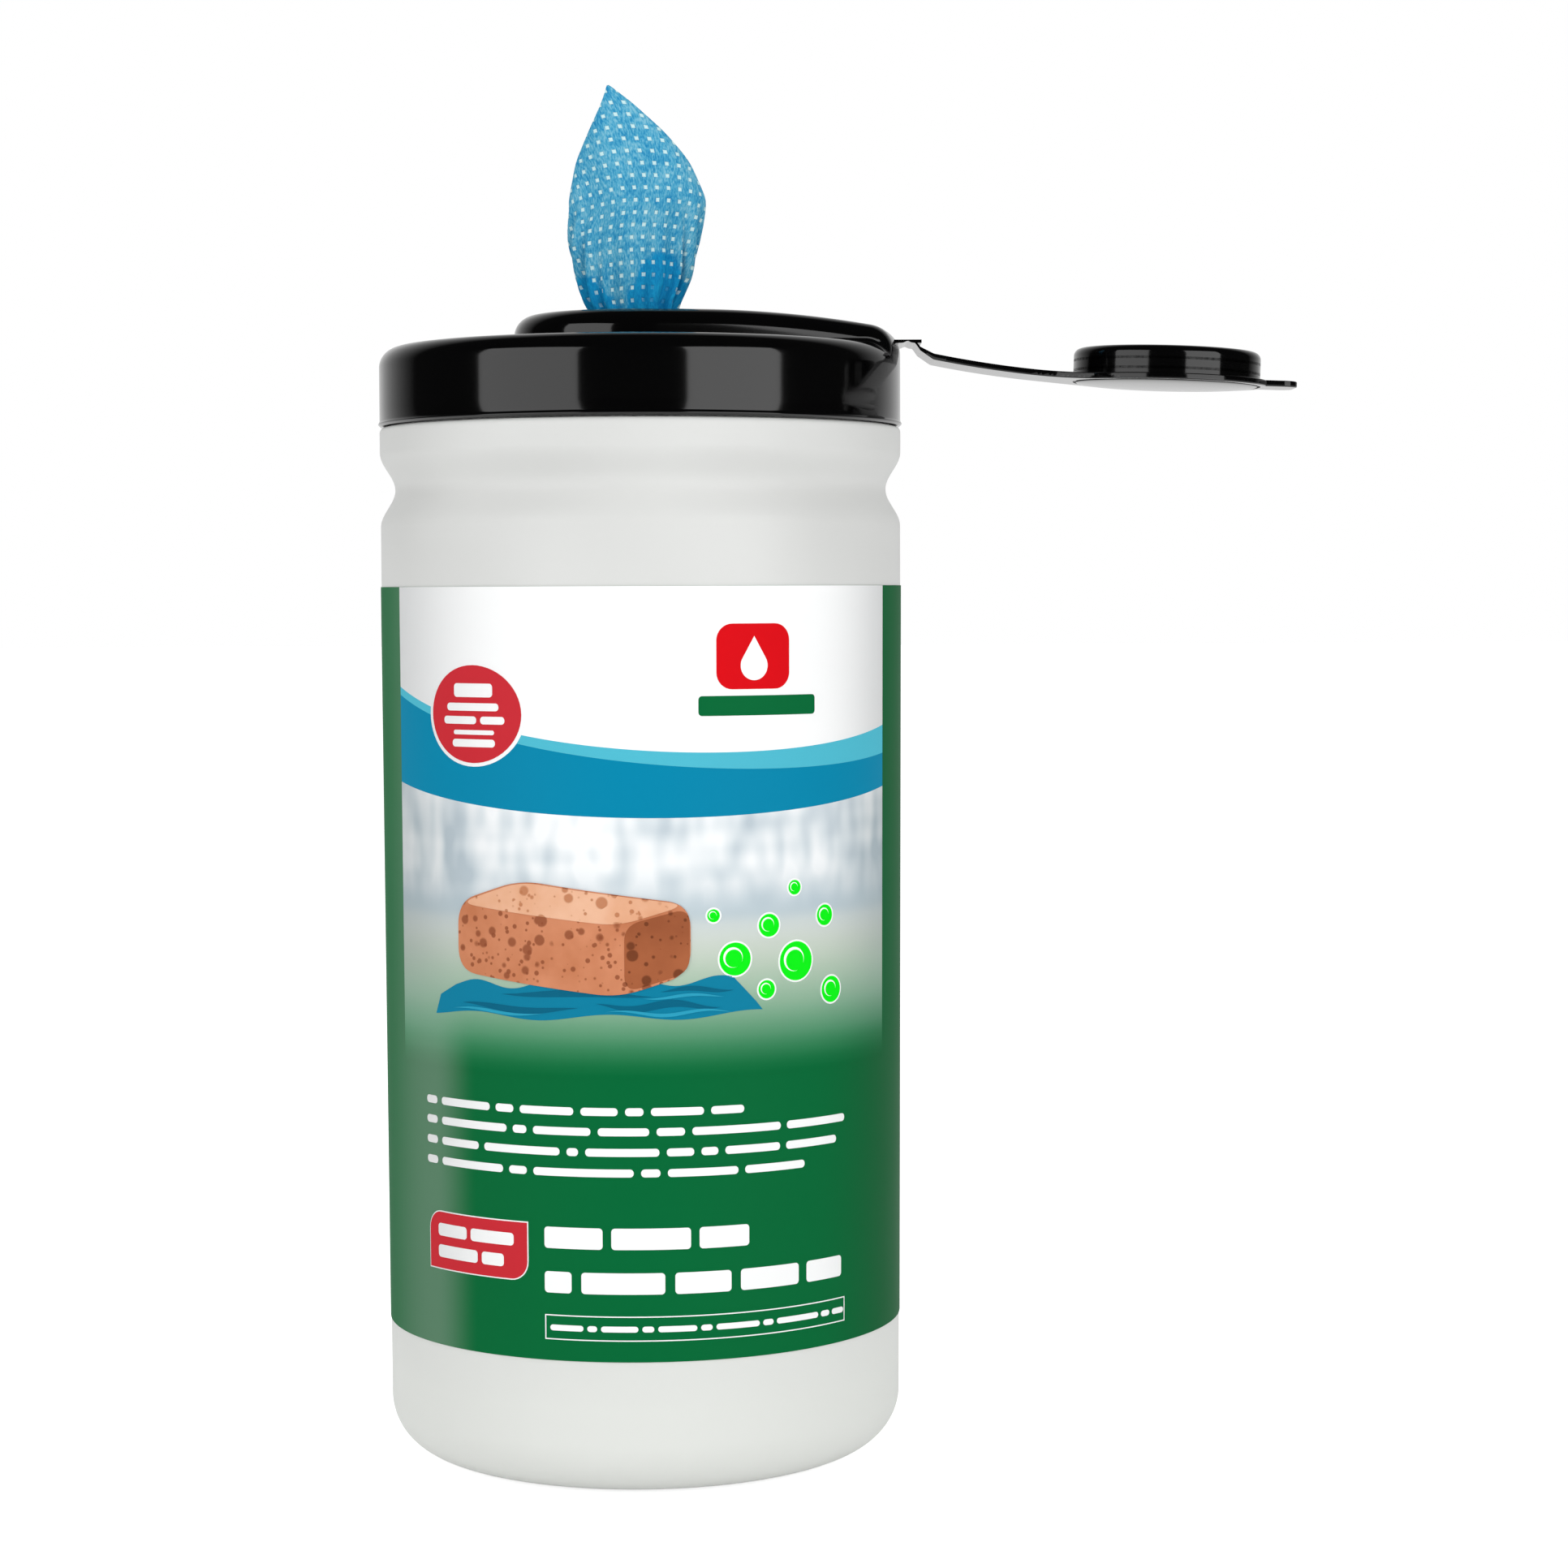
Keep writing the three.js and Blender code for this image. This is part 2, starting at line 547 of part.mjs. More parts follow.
// The closed flap's outline from above: web and strip, disc, and finger tab with round corners.
function flapOutline() {
  const shape = new THREE.Shape();
  const meet = Math.asin(STRIP_HALF / DISC_R) + STRIP_BLEND * DEGREES;
  const joinX = PLUG_X + DISC_R * Math.cos(meet);
  const joinY = DISC_R * Math.sin(meet);
  const tabX = PLUG_X - DISC_R - TAB_OUT;
  const tabTurn = Math.asin(TAB_HALF / DISC_R);
  const corner = TAB_CORNER_R;
  shape.moveTo(HINGE_X - WEB_GAP, -STRIP_HALF);
  shape.lineTo(HINGE_X - WEB_GAP, STRIP_HALF);
  shape.lineTo(joinX + STRIP_BLEND, STRIP_HALF);
  shape.quadraticCurveTo(joinX + STRIP_BLEND / 2, STRIP_HALF, joinX, joinY);
  shape.absarc(PLUG_X, 0, DISC_R, meet, Math.PI - tabTurn, false);
  shape.lineTo(tabX + corner, TAB_HALF);
  shape.absarc(tabX + corner, TAB_HALF - corner, corner, Math.PI / 2, Math.PI, false);
  shape.absarc(tabX + corner, corner - TAB_HALF, corner, Math.PI, 1.5 * Math.PI, false);
  shape.lineTo(PLUG_X - DISC_R * Math.cos(tabTurn), -TAB_HALF);
  shape.absarc(PLUG_X, 0, DISC_R, Math.PI + tabTurn, 2 * Math.PI - meet, false);
  shape.quadraticCurveTo(joinX + STRIP_BLEND / 2, -STRIP_HALF, joinX + STRIP_BLEND, -STRIP_HALF);
  shape.lineTo(HINGE_X - WEB_GAP, -STRIP_HALF);
  return shape;
}

// The plug's ring, hung from the flap's inner face: fine grooves outside and a rounded rim.
function plugRing(face) {
  const inner = PLUG_R - PLUG_WALL;
  const rim = PLUG_WALL * 0.9;
  const groove = (depth) => [
    [PLUG_R, face - depth + PLUG_GROOVE],
    [PLUG_R - PLUG_GROOVE, face - depth],
    [PLUG_R, face - depth - PLUG_GROOVE],
  ];
  return turned([
    [inner, face + FLAP_THICK / 2],
    ...arc(inner + rim / 4, face - PLUG_H + rim / 4, rim / 4, 180, 270, 1),
    ...arc(PLUG_R - rim, face - PLUG_H + rim, rim, -90, 0, 4),
    ...groove(PLUG_H * 0.55),
    ...groove(PLUG_H * 0.2),
    [PLUG_R, face + FLAP_THICK / 2],
    [inner, face + FLAP_THICK / 2],
  ], SMALL_TURNS);
}

// Flap, built closed and then swung open about the hinge.
function flap() {
  const section = new THREE.Shape(flapSection().map(([x, z]) => new THREE.Vector2(x, z)));
  const width = 2 * DISC_R + 2;
  const band = solid(new THREE.ExtrudeGeometry(section, { depth: width, bevelEnabled: false })
    .rotateX(Math.PI / 2).translate(0, width / 2, 0));
  const top = PLATFORM_TOP_Z + 2 * PLATFORM_EDGE_R;
  const plan = solid(drawnUp(flapOutline(), PLATFORM_FOOT_Z, top, 16));
  const face = PLATFORM_TOP_Z + FLAP_GAP;
  const outer = face + FLAP_THICK;
  const crown = solid(turned([
    [0, face + FLAP_THICK / 2], [RING_R - RING_W / 2, face + FLAP_THICK / 2],
    [RING_R - RING_W / 2, outer - 0.1],
    [RING_R * 0.9, outer + DOME * 0.2], [RING_R * 0.6, outer + DOME * 0.65],
    [RING_R * 0.3, outer + DOME * 0.92], [0, outer + DOME],
  ], SMALL_TURNS)).translate(PLUG_X, 0, 0);
  const groove = solid(turned([
    [RING_R - RING_W / 2, outer - RING_DEPTH], [RING_R + RING_W / 2, outer - RING_DEPTH],
    [RING_R + RING_W / 2, outer + 1], [RING_R - RING_W / 2, outer + 1],
    [RING_R - RING_W / 2, outer - RING_DEPTH],
  ], SMALL_TURNS)).translate(PLUG_X, 0, 0);
  const plug = solid(plugRing(face)).translate(PLUG_X, 0, 0);
  const closed = band.intersect(plan).subtract(groove).add(crown).add(plug);
  return faceted(closed)
    .translate(-HINGE_X, 0, -HINGE_Z)
    .rotateY(CLOSE_ANGLE * DEGREES)
    .translate(HINGE_X, 0, HINGE_Z);
}

// The drawn-up corner of a wipe. Each level is a thin band curled backwards at both edges:
// [height over the well's floor, middle off the plug's, half width, depth, curl in degrees, ripple].
const WIPE_LEVELS = [
  [-68, 0, 2.6, 2.2, 140, 0],
  [-49, 0, 4.4, 3.6, 145, 0.08],
  [-19, 0, 4.4, 3.8, 150, 0.1],
  [-3, 0, 3.9, 3.9, 152, 0.06],
  [1, 0, 3.9, 3.9, 152, 0.06],
  [5, -1, 7, 5.4, 135, 0.1],
  [10, -2.5, 10.7, 6.6, 120, 0.08],
  [17, -2.3, 13.2, 7, 112, 0.05],
  [25, -2.5, 14.9, 7, 106, 0.04],
  [34, -1.4, 15.6, 6.4, 102, 0.03],
  [43, -2.5, 12.8, 5.2, 98, 0.02],
  [50, -3.9, 8.6, 3.8, 95, 0],
  [56.5, -5.9, 3.8, 2.2, 90, 0],
  [60, -7.4, 0.7, 0.6, 90, 0],
];

function wipe() {
  const limit = HOLE_R - WIPE_CLEARANCE - WIPE_THICK / 2;
  const rings = WIPE_LEVELS.map(([rise, aside, halfWidth, depth, curl, ripple]) => {
    const z = WELL_FLOOR_Z + rise;
    const through = rise < WIPE_FREE;
    const wide = through ? Math.min(halfWidth, limit) : halfWidth;
    const thick = Math.min(WIPE_THICK, wide * 0.8);
    const at = (side) => Array.from({ length: WIPE_STEPS + 1 }, (_, i) => {
      const u = curl * (2 * i / WIPE_STEPS - 1) * DEGREES;
      const wave = 1 + ripple * Math.cos(WIPE_FOLDS * u);
      const nx = Math.sin(u);
      const ny = -Math.cos(u);
      const x = PLUG_X + aside + wide * wave * nx + side * thick / 2 * nx;
      const y = depth * wave * ny + side * thick / 2 * ny;
      return [x, y, z];
    });
    return [...at(1), ...at(-1).reverse()];
  });
  return lofted(rings);
}

const group = new THREE.Group();
const bodyLook = material(0xdcddda, 0.55);
const lidLook = material(0x0a0a0b, 0.2);
const wipeLook = material(0x3fa0cf, 0.9);
group.add(piece("canister_body", canisterBody(), bodyLook));
group.add(...labelFields());
group.add(piece("wipes_roll", wipesRoll(), material(0xa9d3e6, 0.95)));
group.add(piece("lid", lid(), lidLook));
group.add(piece("flap", flap(), lidLook));
group.add(piece("wipe", wipe(), wipeLook));

export default group;
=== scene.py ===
# %% [markdown]
# A canister of cleaning wipes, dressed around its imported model. The real object is a blow-moulded
# tub with a wrap label, a glossy snap-on lid with a hinged plug flap, a wet roll inside, and the
# corner of the first wipe drawn up through the lid. The canister's sizes are in millimetres until
# they reach a mesh, where they are turned into metres, so they read as they would on a drawing.

import math

import bmesh
import bpy
from mathutils import Matrix, Vector


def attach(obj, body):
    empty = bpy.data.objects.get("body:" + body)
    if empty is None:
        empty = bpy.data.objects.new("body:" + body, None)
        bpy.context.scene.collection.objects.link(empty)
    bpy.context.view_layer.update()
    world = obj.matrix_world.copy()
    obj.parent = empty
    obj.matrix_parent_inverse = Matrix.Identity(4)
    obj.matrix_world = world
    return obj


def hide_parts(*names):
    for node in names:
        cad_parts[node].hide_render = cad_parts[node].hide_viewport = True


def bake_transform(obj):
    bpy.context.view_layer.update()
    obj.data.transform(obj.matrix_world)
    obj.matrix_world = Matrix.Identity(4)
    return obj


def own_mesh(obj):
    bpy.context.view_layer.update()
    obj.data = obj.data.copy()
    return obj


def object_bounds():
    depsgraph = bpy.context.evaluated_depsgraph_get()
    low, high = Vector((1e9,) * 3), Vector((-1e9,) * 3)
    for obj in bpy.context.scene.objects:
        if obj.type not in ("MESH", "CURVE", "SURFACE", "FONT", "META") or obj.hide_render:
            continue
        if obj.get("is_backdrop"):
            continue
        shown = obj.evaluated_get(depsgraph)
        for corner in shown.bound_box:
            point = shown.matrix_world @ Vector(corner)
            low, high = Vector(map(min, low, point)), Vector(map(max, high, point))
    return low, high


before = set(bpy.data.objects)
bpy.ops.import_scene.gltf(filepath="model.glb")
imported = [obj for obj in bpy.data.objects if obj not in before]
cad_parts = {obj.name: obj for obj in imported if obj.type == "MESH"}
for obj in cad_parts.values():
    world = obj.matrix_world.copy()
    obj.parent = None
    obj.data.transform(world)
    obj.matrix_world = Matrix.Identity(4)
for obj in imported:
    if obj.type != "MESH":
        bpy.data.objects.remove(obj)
cad_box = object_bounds()
MM = 0.001


def added(name, data):
    """A new object in the scene that shows a mesh, a lamp or a camera."""
    made = bpy.data.objects.new(name, data)
    bpy.context.scene.collection.objects.link(made)
    return made


def mesh_object(name, bm):
    """A new object from a bmesh, which is freed."""
    mesh = bpy.data.meshes.new(name)
    bm.to_mesh(mesh)
    bm.free()
    return added(name, mesh)


# %% [markdown]
# The camera comes first. It looks along +Y from a little above the middle of the canister, turned
# three degrees down, with a long lens, so the rims read as flat curves and the lid's top is hidden.

# %% Camera
CAMERA_AT = Vector((32.82, -813.66, 198.42)) * MM
CAMERA_DOWN = math.radians(3.1555)
CAMERA_ROLL = math.radians(-0.221)
SENSOR = 36.0
LENS = 80.45


def aimed(at, down, roll):
    """The matrix of a camera that looks along +Y, tipped down and rolled."""
    forward = Vector((0, math.cos(down), -math.sin(down)))
    up = Vector((0, math.sin(down), math.cos(down)))
    side = Vector((1, 0, 0))
    right = side * math.cos(roll) + up * math.sin(roll)
    top = up * math.cos(roll) - side * math.sin(roll)
    turn = Matrix((right, top, -forward)).transposed().to_4x4()
    return Matrix.Translation(at) @ turn


camera_data = bpy.data.cameras.new("camera")
camera_data.sensor_width = SENSOR
camera_data.sensor_fit = "HORIZONTAL"
camera_data.lens = LENS
camera = added("camera", camera_data)
camera.matrix_world = aimed(CAMERA_AT, CAMERA_DOWN, CAMERA_ROLL)
bpy.context.scene.camera = camera
bpy.context.scene.view_settings.view_transform = "Standard"
print("camera:", LENS, "mm lens at", [round(v, 3) for v in CAMERA_AT])

# %% [markdown]
# Small helpers for the shader nodes. A material is made of a few named nodes and the links between
# them, so a helper that adds a node and sets its inputs keeps each recipe to a handful of lines.

# %% Node helpers


def add_node(tree, kind, inputs=None, **settings):
    """A new node in a tree, with its settings and the values or links of its inputs."""
    node = tree.nodes.new(kind)
    for key, value in settings.items():
        setattr(node, key, value)
    for key, value in (inputs or {}).items():
        if isinstance(value, bpy.types.NodeSocket):
            tree.links.new(value, node.inputs[key])
        else:
            node.inputs[key].default_value = value
    return node


def colour(hex_code):
    """A screen colour, written as six hex digits, as linear light with alpha."""
    parts = [int(hex_code[i:i + 2], 16) / 255 for i in (0, 2, 4)]
    linear = [c / 12.92 if c <= 0.04045 else ((c + 0.055) / 1.055) ** 2.4 for c in parts]
    return (*linear, 1.0)


def plain_material(name, base, roughness, **sockets):
    """A Principled material; sockets are values set on the shader itself."""
    made = bpy.data.materials.new(name)
    made.use_nodes = True
    shader = made.node_tree.nodes["Principled BSDF"]
    shader.inputs["Base Color"].default_value = base
    shader.inputs["Roughness"].default_value = roughness
    for key, value in sockets.items():
        shader.inputs[key.replace("_", " ")].default_value = value
    return made, made.node_tree, shader


def ramp(tree, factor, stops, interpolation="LINEAR"):
    """A colour ramp over a factor, from a list of (place, screen colour) stops."""
    node = add_node(tree, "ShaderNodeValToRGB", {"Fac": factor})
    node.color_ramp.interpolation = interpolation
    elements = node.color_ramp.elements
    while len(elements) < len(stops):
        elements.new(0.5)
    for element, (place, hex_code) in zip(elements, stops):
        element.position = place
        element.color = colour(hex_code)
    return node.outputs["Color"]


def mixed_in(tree, factor, under, over):
    """A colour over another by a factor."""
    return add_node(tree, "ShaderNodeMix", {"Factor": factor, "A": under, "B": over},
                    data_type="RGBA").outputs["Result"]


def paint(tree, shader, shade):
    tree.links.new(shade, shader.inputs["Base Color"])


def maths(tree, operation, *values):
    """The result of a maths node over numbers or sockets."""
    return add_node(tree, "ShaderNodeMath", dict(enumerate(values)), operation=operation).outputs[0]


def times(tree, value, share):
    return maths(tree, "MULTIPLY", value, share)


def mapped(tree, value, start, end, low=0.0, high=1.0, kind="LINEAR"):
    """A value stretched from one range to another, and held within it."""
    return add_node(tree, "ShaderNodeMapRange", {"Value": value, "From Min": start, "From Max": end,
                    "To Min": low, "To Max": high}, interpolation_type=kind).outputs[0]


def noise(tree, place, scale, detail, roughness=0.5):
    return add_node(tree, "ShaderNodeTexNoise", {"Vector": place, "Scale": scale, "Detail": detail,
                    "Roughness": roughness}).outputs[0]


def object_place(tree):
    return add_node(tree, "ShaderNodeTexCoord").outputs["Object"]


def parts_of(tree, vector):
    """The X, Y and Z of a vector, by name."""
    return add_node(tree, "ShaderNodeSeparateXYZ", {"Vector": vector}).outputs


print("the label's green as linear light:", [round(v, 3) for v in colour("006635")])

# %% [markdown]
# The stage is a plain white floor and a white world. The floor's own colour does most of the work
# and a little light that only the camera, gloss and glass can see brings it up to white, so that
# the soft contact shadow stays. The world is white to the camera too. To glossy rays it is white
# behind the object and dim in front, as in a studio with a lit backdrop and a dark room behind the
# photographer: that is what lets a black lid look black.

# %% Floor and world
FLOOR_SIZE, FLOOR_DROP = 24.0, 0.0004
FLOOR_WHITE, FLOOR_GLOW, FLOOR_GLOW_IN_GLOSS = (0.9, 0.9, 0.9, 1), 0.75, 0.4
FILL, FILL_IN_GLOSS = 0.5, 0.02
BACKDROP_FROM, BACKDROP_TO, BACKDROP_IN_GLOSS = 0.4, 0.9, 0.8


def seen_directly(tree):
    """One for a camera ray, and one for a glossy or transmission ray."""
    path = add_node(tree, "ShaderNodeLightPath").outputs
    others = maths(tree, "MAXIMUM", path["Is Glossy Ray"], path["Is Transmission Ray"])
    return path["Is Camera Ray"], others


def make_floor():
    bm = bmesh.new()
    bmesh.ops.create_grid(bm, x_segments=2, y_segments=2, size=FLOOR_SIZE / 2)
    bmesh.ops.translate(bm, vec=(0, 0, -FLOOR_DROP), verts=bm.verts)
    floor = mesh_object("floor", bm)
    made, tree, shader = plain_material("floor_white", FLOOR_WHITE, 0.9)
    camera_ray, other_rays = seen_directly(tree)
    in_gloss = times(tree, other_rays, FLOOR_GLOW_IN_GLOSS)
    glow = maths(tree, "MULTIPLY_ADD", camera_ray, FLOOR_GLOW, in_gloss)
    shader.inputs["Emission Color"].default_value = (1, 1, 1, 1)
    tree.links.new(glow, shader.inputs["Emission Strength"])
    floor.data.materials.append(made)
    floor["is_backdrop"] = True


def make_world():
    world = bpy.data.worlds.new("studio")
    bpy.context.scene.world = world
    world.use_nodes = True
    tree = world.node_tree
    camera_ray, other_rays = seen_directly(tree)
    ahead = add_node(tree, "ShaderNodeTexCoord").outputs["Generated"]
    behind = mapped(tree, parts_of(tree, ahead)["Y"], BACKDROP_FROM, BACKDROP_TO, 0.0,
                    BACKDROP_IN_GLOSS)
    white = maths(tree, "MAXIMUM", camera_ray, times(tree, other_rays, behind))
    fill = mapped(tree, other_rays, 0.0, 1.0, FILL, FILL_IN_GLOSS)
    strength = add_node(tree, "ShaderNodeMix", {"Factor": white, "A": fill, "B": 1.0},
                        data_type="FLOAT").outputs[0]
    background = tree.nodes["Background"].inputs
    background["Color"].default_value = (1, 1, 1, 1)
    tree.links.new(strength, background["Strength"])


make_floor()
make_world()
print("floor", FLOOR_SIZE, "m wide; world gives", FILL, "of white as fill")

# %% [markdown]
# Two tall soft boxes stand left and right of the camera. Their places come from the two grey bands
# on the lid's skirt: a cylinder mirrors a light at half the light's own angle round it. A weak
# overhead light opens up the lid's top and the wipe. Each lamp is given by the brightness that its
# face shows, from which its power follows.

# %% Lights
LIGHT_DISTANCE = 1.25


def soft_box(name, azimuth, elevation, width, height, brightness, distance=LIGHT_DISTANCE):
    """A rectangular lamp that faces the canister. Azimuth 0 is the front and positive is right."""
    data = bpy.data.lights.new(name, "AREA")
    data.shape = "RECTANGLE"
    data.size = width
    data.size_y = height
    data.energy = brightness * math.pi * width * height
    lamp = added(name, data)
    a, e = math.radians(azimuth), math.radians(elevation)
    away = Vector((math.sin(a) * math.cos(e), -math.cos(a) * math.cos(e), math.sin(e)))
    aim = Vector((0, 0, 0.17))
    lamp.location = aim + away * distance
    lamp.rotation_mode = "QUATERNION"
    lamp.rotation_quaternion = away.to_track_quat("Z", "Y")
    return lamp


lamps = [soft_box("soft_box_left", -47, 3, 1.06, 1.5, 1.9),
         soft_box("soft_box_right", 43, 3, 0.96, 1.5, 2.35),
         soft_box("overhead", 0, 80, 1.2, 1.2, 0.8, 1.5)]
lamps[2].visible_glossy = False
for lamp in lamps:
    print(lamp.name, round(lamp.data.energy, 1), "W")

# %% [markdown]
# Mesh helpers. Every piece starts as a bmesh: a profile that is spun, a ring that is extruded again
# and again, a flat outline that is cut across and bent, or a grid that is curled. The finished
# object stays at the origin with its place in its mesh, and rides on one of the model's bodies.

# %% Mesh helpers
SHARP = math.radians(32)


def finished(bm, name, body, look, replaces=(), sharp=SHARP):
    """Turns a bmesh into a smooth-shaded object that rides on a body."""
    piece = mesh_object(name, bm)
    piece.data.shade_smooth()
    piece.data.set_sharp_from_angle(angle=sharp)
    if look:
        piece.data.materials.append(look)
    if body:
        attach(piece, body)
    if replaces:
        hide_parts(*replaces)
    print(f"{name}: {len(piece.data.polygons)} faces, on {body or 'two bodies'}")
    return piece


def extruded(bm):
    """Extrudes every face of a flat mesh on the spot, and gives the new vertices to move."""
    made = bmesh.ops.extrude_face_region(bm, geom=bm.faces[:])["geom"]
    return [v for v in made if isinstance(v, bmesh.types.BMVert)]


def arc(cx, cz, radius, start, end, steps):
    """Points on an arc in a profile, from one angle to another, in degrees."""
    angles = [math.radians(start + (end - start) * i / steps) for i in range(steps + 1)]
    return [(cx + radius * math.cos(a), cz + radius * math.sin(a)) for a in angles]


def curve(start, bend, end, steps):
    """Points on a smooth curve that leaves start towards bend and comes from there to the end."""
    shares = [i / steps for i in range(steps + 1)]
    return [tuple(a * (1 - t) ** 2 + 2 * b * t * (1 - t) + c * t ** 2
                  for a, b, c in zip(start, bend, end)) for t in shares]


def box(left, right, low, high):
    """The corners of a plain rectangle."""
    return [(left, low), (right, low), (right, high), (left, high)]


def held(share):
    """A share held between nothing and the whole."""
    return max(0.0, min(share, 1.0))


def spun(profile, steps=192, centre=(0, 0)):
    """A bmesh of a closed profile of (radius, height) pairs turned about an upright axis."""
    bm = bmesh.new()
    cx, cy = centre
    verts = [bm.verts.new(Vector((cx + r, cy, z)) * MM) for r, z in profile]
    edges = [bm.edges.new(pair) for pair in zip(verts, verts[1:])]
    if profile[0][0] > 0:
        edges.append(bm.edges.new((verts[-1], verts[0])))
    bmesh.ops.spin(bm, geom=verts + edges, cent=Vector((cx, cy, 0)) * MM, axis=(0, 0, 1),
                   angle=2 * math.pi, steps=steps, use_merge=True)
    bmesh.ops.remove_doubles(bm, verts=bm.verts, dist=0.002 * MM)
    bmesh.ops.recalc_face_normals(bm, faces=bm.faces)
    return bm


def ring_extruded(rows):
    """A bmesh of rows of points: the first row is a ring, and each next row extrudes the last."""
    bm = bmesh.new()
    ring = [bm.verts.new(p) for p in rows[0]]
    count = len(ring)
    edges = [bm.edges.new((ring[i], ring[(i + 1) % count])) for i in range(count)]
    for row in rows[1:]:
        made = bmesh.ops.extrude_edge_only(bm, edges=edges)["geom"]
        fresh = {v for v in made if isinstance(v, bmesh.types.BMVert)}
        ring = [next(e.other_vert(vert) for e in vert.link_edges if e.other_vert(vert) in fresh)
                for vert in ring]
        for vert, place in zip(ring, row):
            vert.co = place
        edges = [bm.edges.get((ring[i], ring[(i + 1) % count])) for i in range(count)]
    bmesh.ops.remove_doubles(bm, verts=bm.verts, dist=0.001 * MM)
    bmesh.ops.recalc_face_normals(bm, faces=bm.faces)
    return bm


def combined(piece, bm, operation):
    """Joins a solid to a finished piece, or cuts it away, with the Boolean modifier applied."""
    tool = mesh_object("tool", bm)
    modifier = piece.modifiers.new("combine", "BOOLEAN")
    modifier.operation = operation
    modifier.solver = "MANIFOLD"
    modifier.object = tool
    evaluated = piece.evaluated_get(bpy.context.evaluated_depsgraph_get())
    result = bpy.data.meshes.new_from_object(evaluated)
    piece.modifiers.clear()
    piece.data = result
    bpy.data.meshes.remove(tool.data)


def weighted(piece):
    """Normals weighted by face area, so that broad flat faces shade flat beside their roundings."""
    piece.data.shade_smooth()
    piece.data.set_sharp_from_angle(angle=SHARP)
    modifier = piece.modifiers.new("weighted", "WEIGHTED_NORMAL")
    modifier.keep_sharp = True


square = spun([(9, 0), (10, 0), (10, 1), (9, 1)], 8)
print("a square section spun in 8 steps gives", len(square.faces), "faces")
square.free()

# %% [markdown]
# Moulded plastic is never quite flat or quite even. One node group makes that unevenness for the
# body, the lid and the label: slow waves in the wall and a fine skin texture go into the normal,
# and a slow drift goes into the roughness. Each material places the group with its own values.

# %% Shared surface group
UNEVEN_INPUTS = ("Wave Height", "Grain Height", "Roughness", "Roughness Drift", "Wave Size",
                 "Grain Size")


def new_group(name, inputs, outputs):
    """An empty node group with float inputs and outputs; an output called Normal is a vector."""
    group = bpy.data.node_groups.new(name, "ShaderNodeTree")
    for direction, names in (("INPUT", inputs), ("OUTPUT", outputs)):
        for socket in names:
            kind = "NodeSocketVector" if socket == "Normal" else "NodeSocketFloat"
            group.interface.new_socket(socket, in_out=direction, socket_type=kind)
    return group


def uneven_surface_group():
    group = new_group("uneven_surface", UNEVEN_INPUTS, ("Normal", "Roughness", "Drift"))
    given = add_node(group, "NodeGroupInput").outputs
    place = object_place(group)
    wave = noise(group, place, given["Wave Size"], 1.0)
    grain = noise(group, place, given["Grain Size"], 2.0)
    slow = add_node(group, "ShaderNodeBump", {"Height": wave, "Distance": given["Wave Height"]})
    fine = add_node(group, "ShaderNodeBump", {"Height": grain, "Distance": given["Grain Height"],
                    "Normal": slow.outputs[0]})
    drift = maths(group, "MULTIPLY_ADD", maths(group, "SUBTRACT", wave, 0.5),
                  given["Roughness Drift"], given["Roughness"])
    add_node(group, "NodeGroupOutput", {"Normal": fine.outputs[0], "Roughness": drift,
             "Drift": wave})
    return group


UNEVEN = uneven_surface_group()


def made_uneven(tree, shader, *values):
    """Places the group in a material, links its normal and roughness, and gives its drift."""
    made = add_node(tree, "ShaderNodeGroup", node_tree=UNEVEN)
    for name, value in zip(UNEVEN_INPUTS, values):
        made.inputs[name].default_value = value
    for name in ("Normal", "Roughness"):
        tree.links.new(made.outputs[name], shader.inputs[name])
    return made.outputs["Drift"]


print("group:", UNEVEN.name, "with", len(UNEVEN.nodes), "nodes")

# %% [markdown]
# The body is one blow-moulded shell: base, wall, grip groove, a ledge for the lid and a neck with a
# snap bead. A shell of revolution is a profile spun once round. The profile here is the real wall
# section, outside and inside, so the open neck and the wall are true when the lid is up.

# %% Body
FOOT_R, BODY_R, SHOULDER_R = 59.2, 59.9, 60.0
CORNER_R = 12.6
WALL = 1.3
GRIP_Z, GRIP_DEPTH, GRIP_HALF = 221.8, 3.4, 8.5
LEDGE_Z, LEDGE_EDGE_R = 236.0, 1.2
NECK_R, NECK_TOP_Z, BEAD_Z = 57.4, 252.3, 244.2
LABEL_LOW_Z, LABEL_TOP_Z = 30.9, 199.6
# Heights in metres over which the wall is painted paler towards its foot: painted light.
PAINTED_LIGHT_AT_FOOT = 0.045, 0.02


def wall_radius(z):
    """The wall widens evenly from the foot to the label's top edge."""
    return FOOT_R + (BODY_R - FOOT_R) * held((z - CORNER_R) / (LABEL_TOP_Z - CORNER_R))


def grip(inset, steps=40):
    """The grip groove, a bell-shaped dip all round the wall."""
    points = []
    for i in range(steps + 1):
        bell = 0.5 - 0.5 * math.cos(2 * math.pi * i / steps)
        wall = BODY_R + (SHOULDER_R - BODY_R) * i / steps
        points.append((wall - GRIP_DEPTH * bell - inset, GRIP_Z + GRIP_HALF * (2 * i / steps - 1)))
    return points


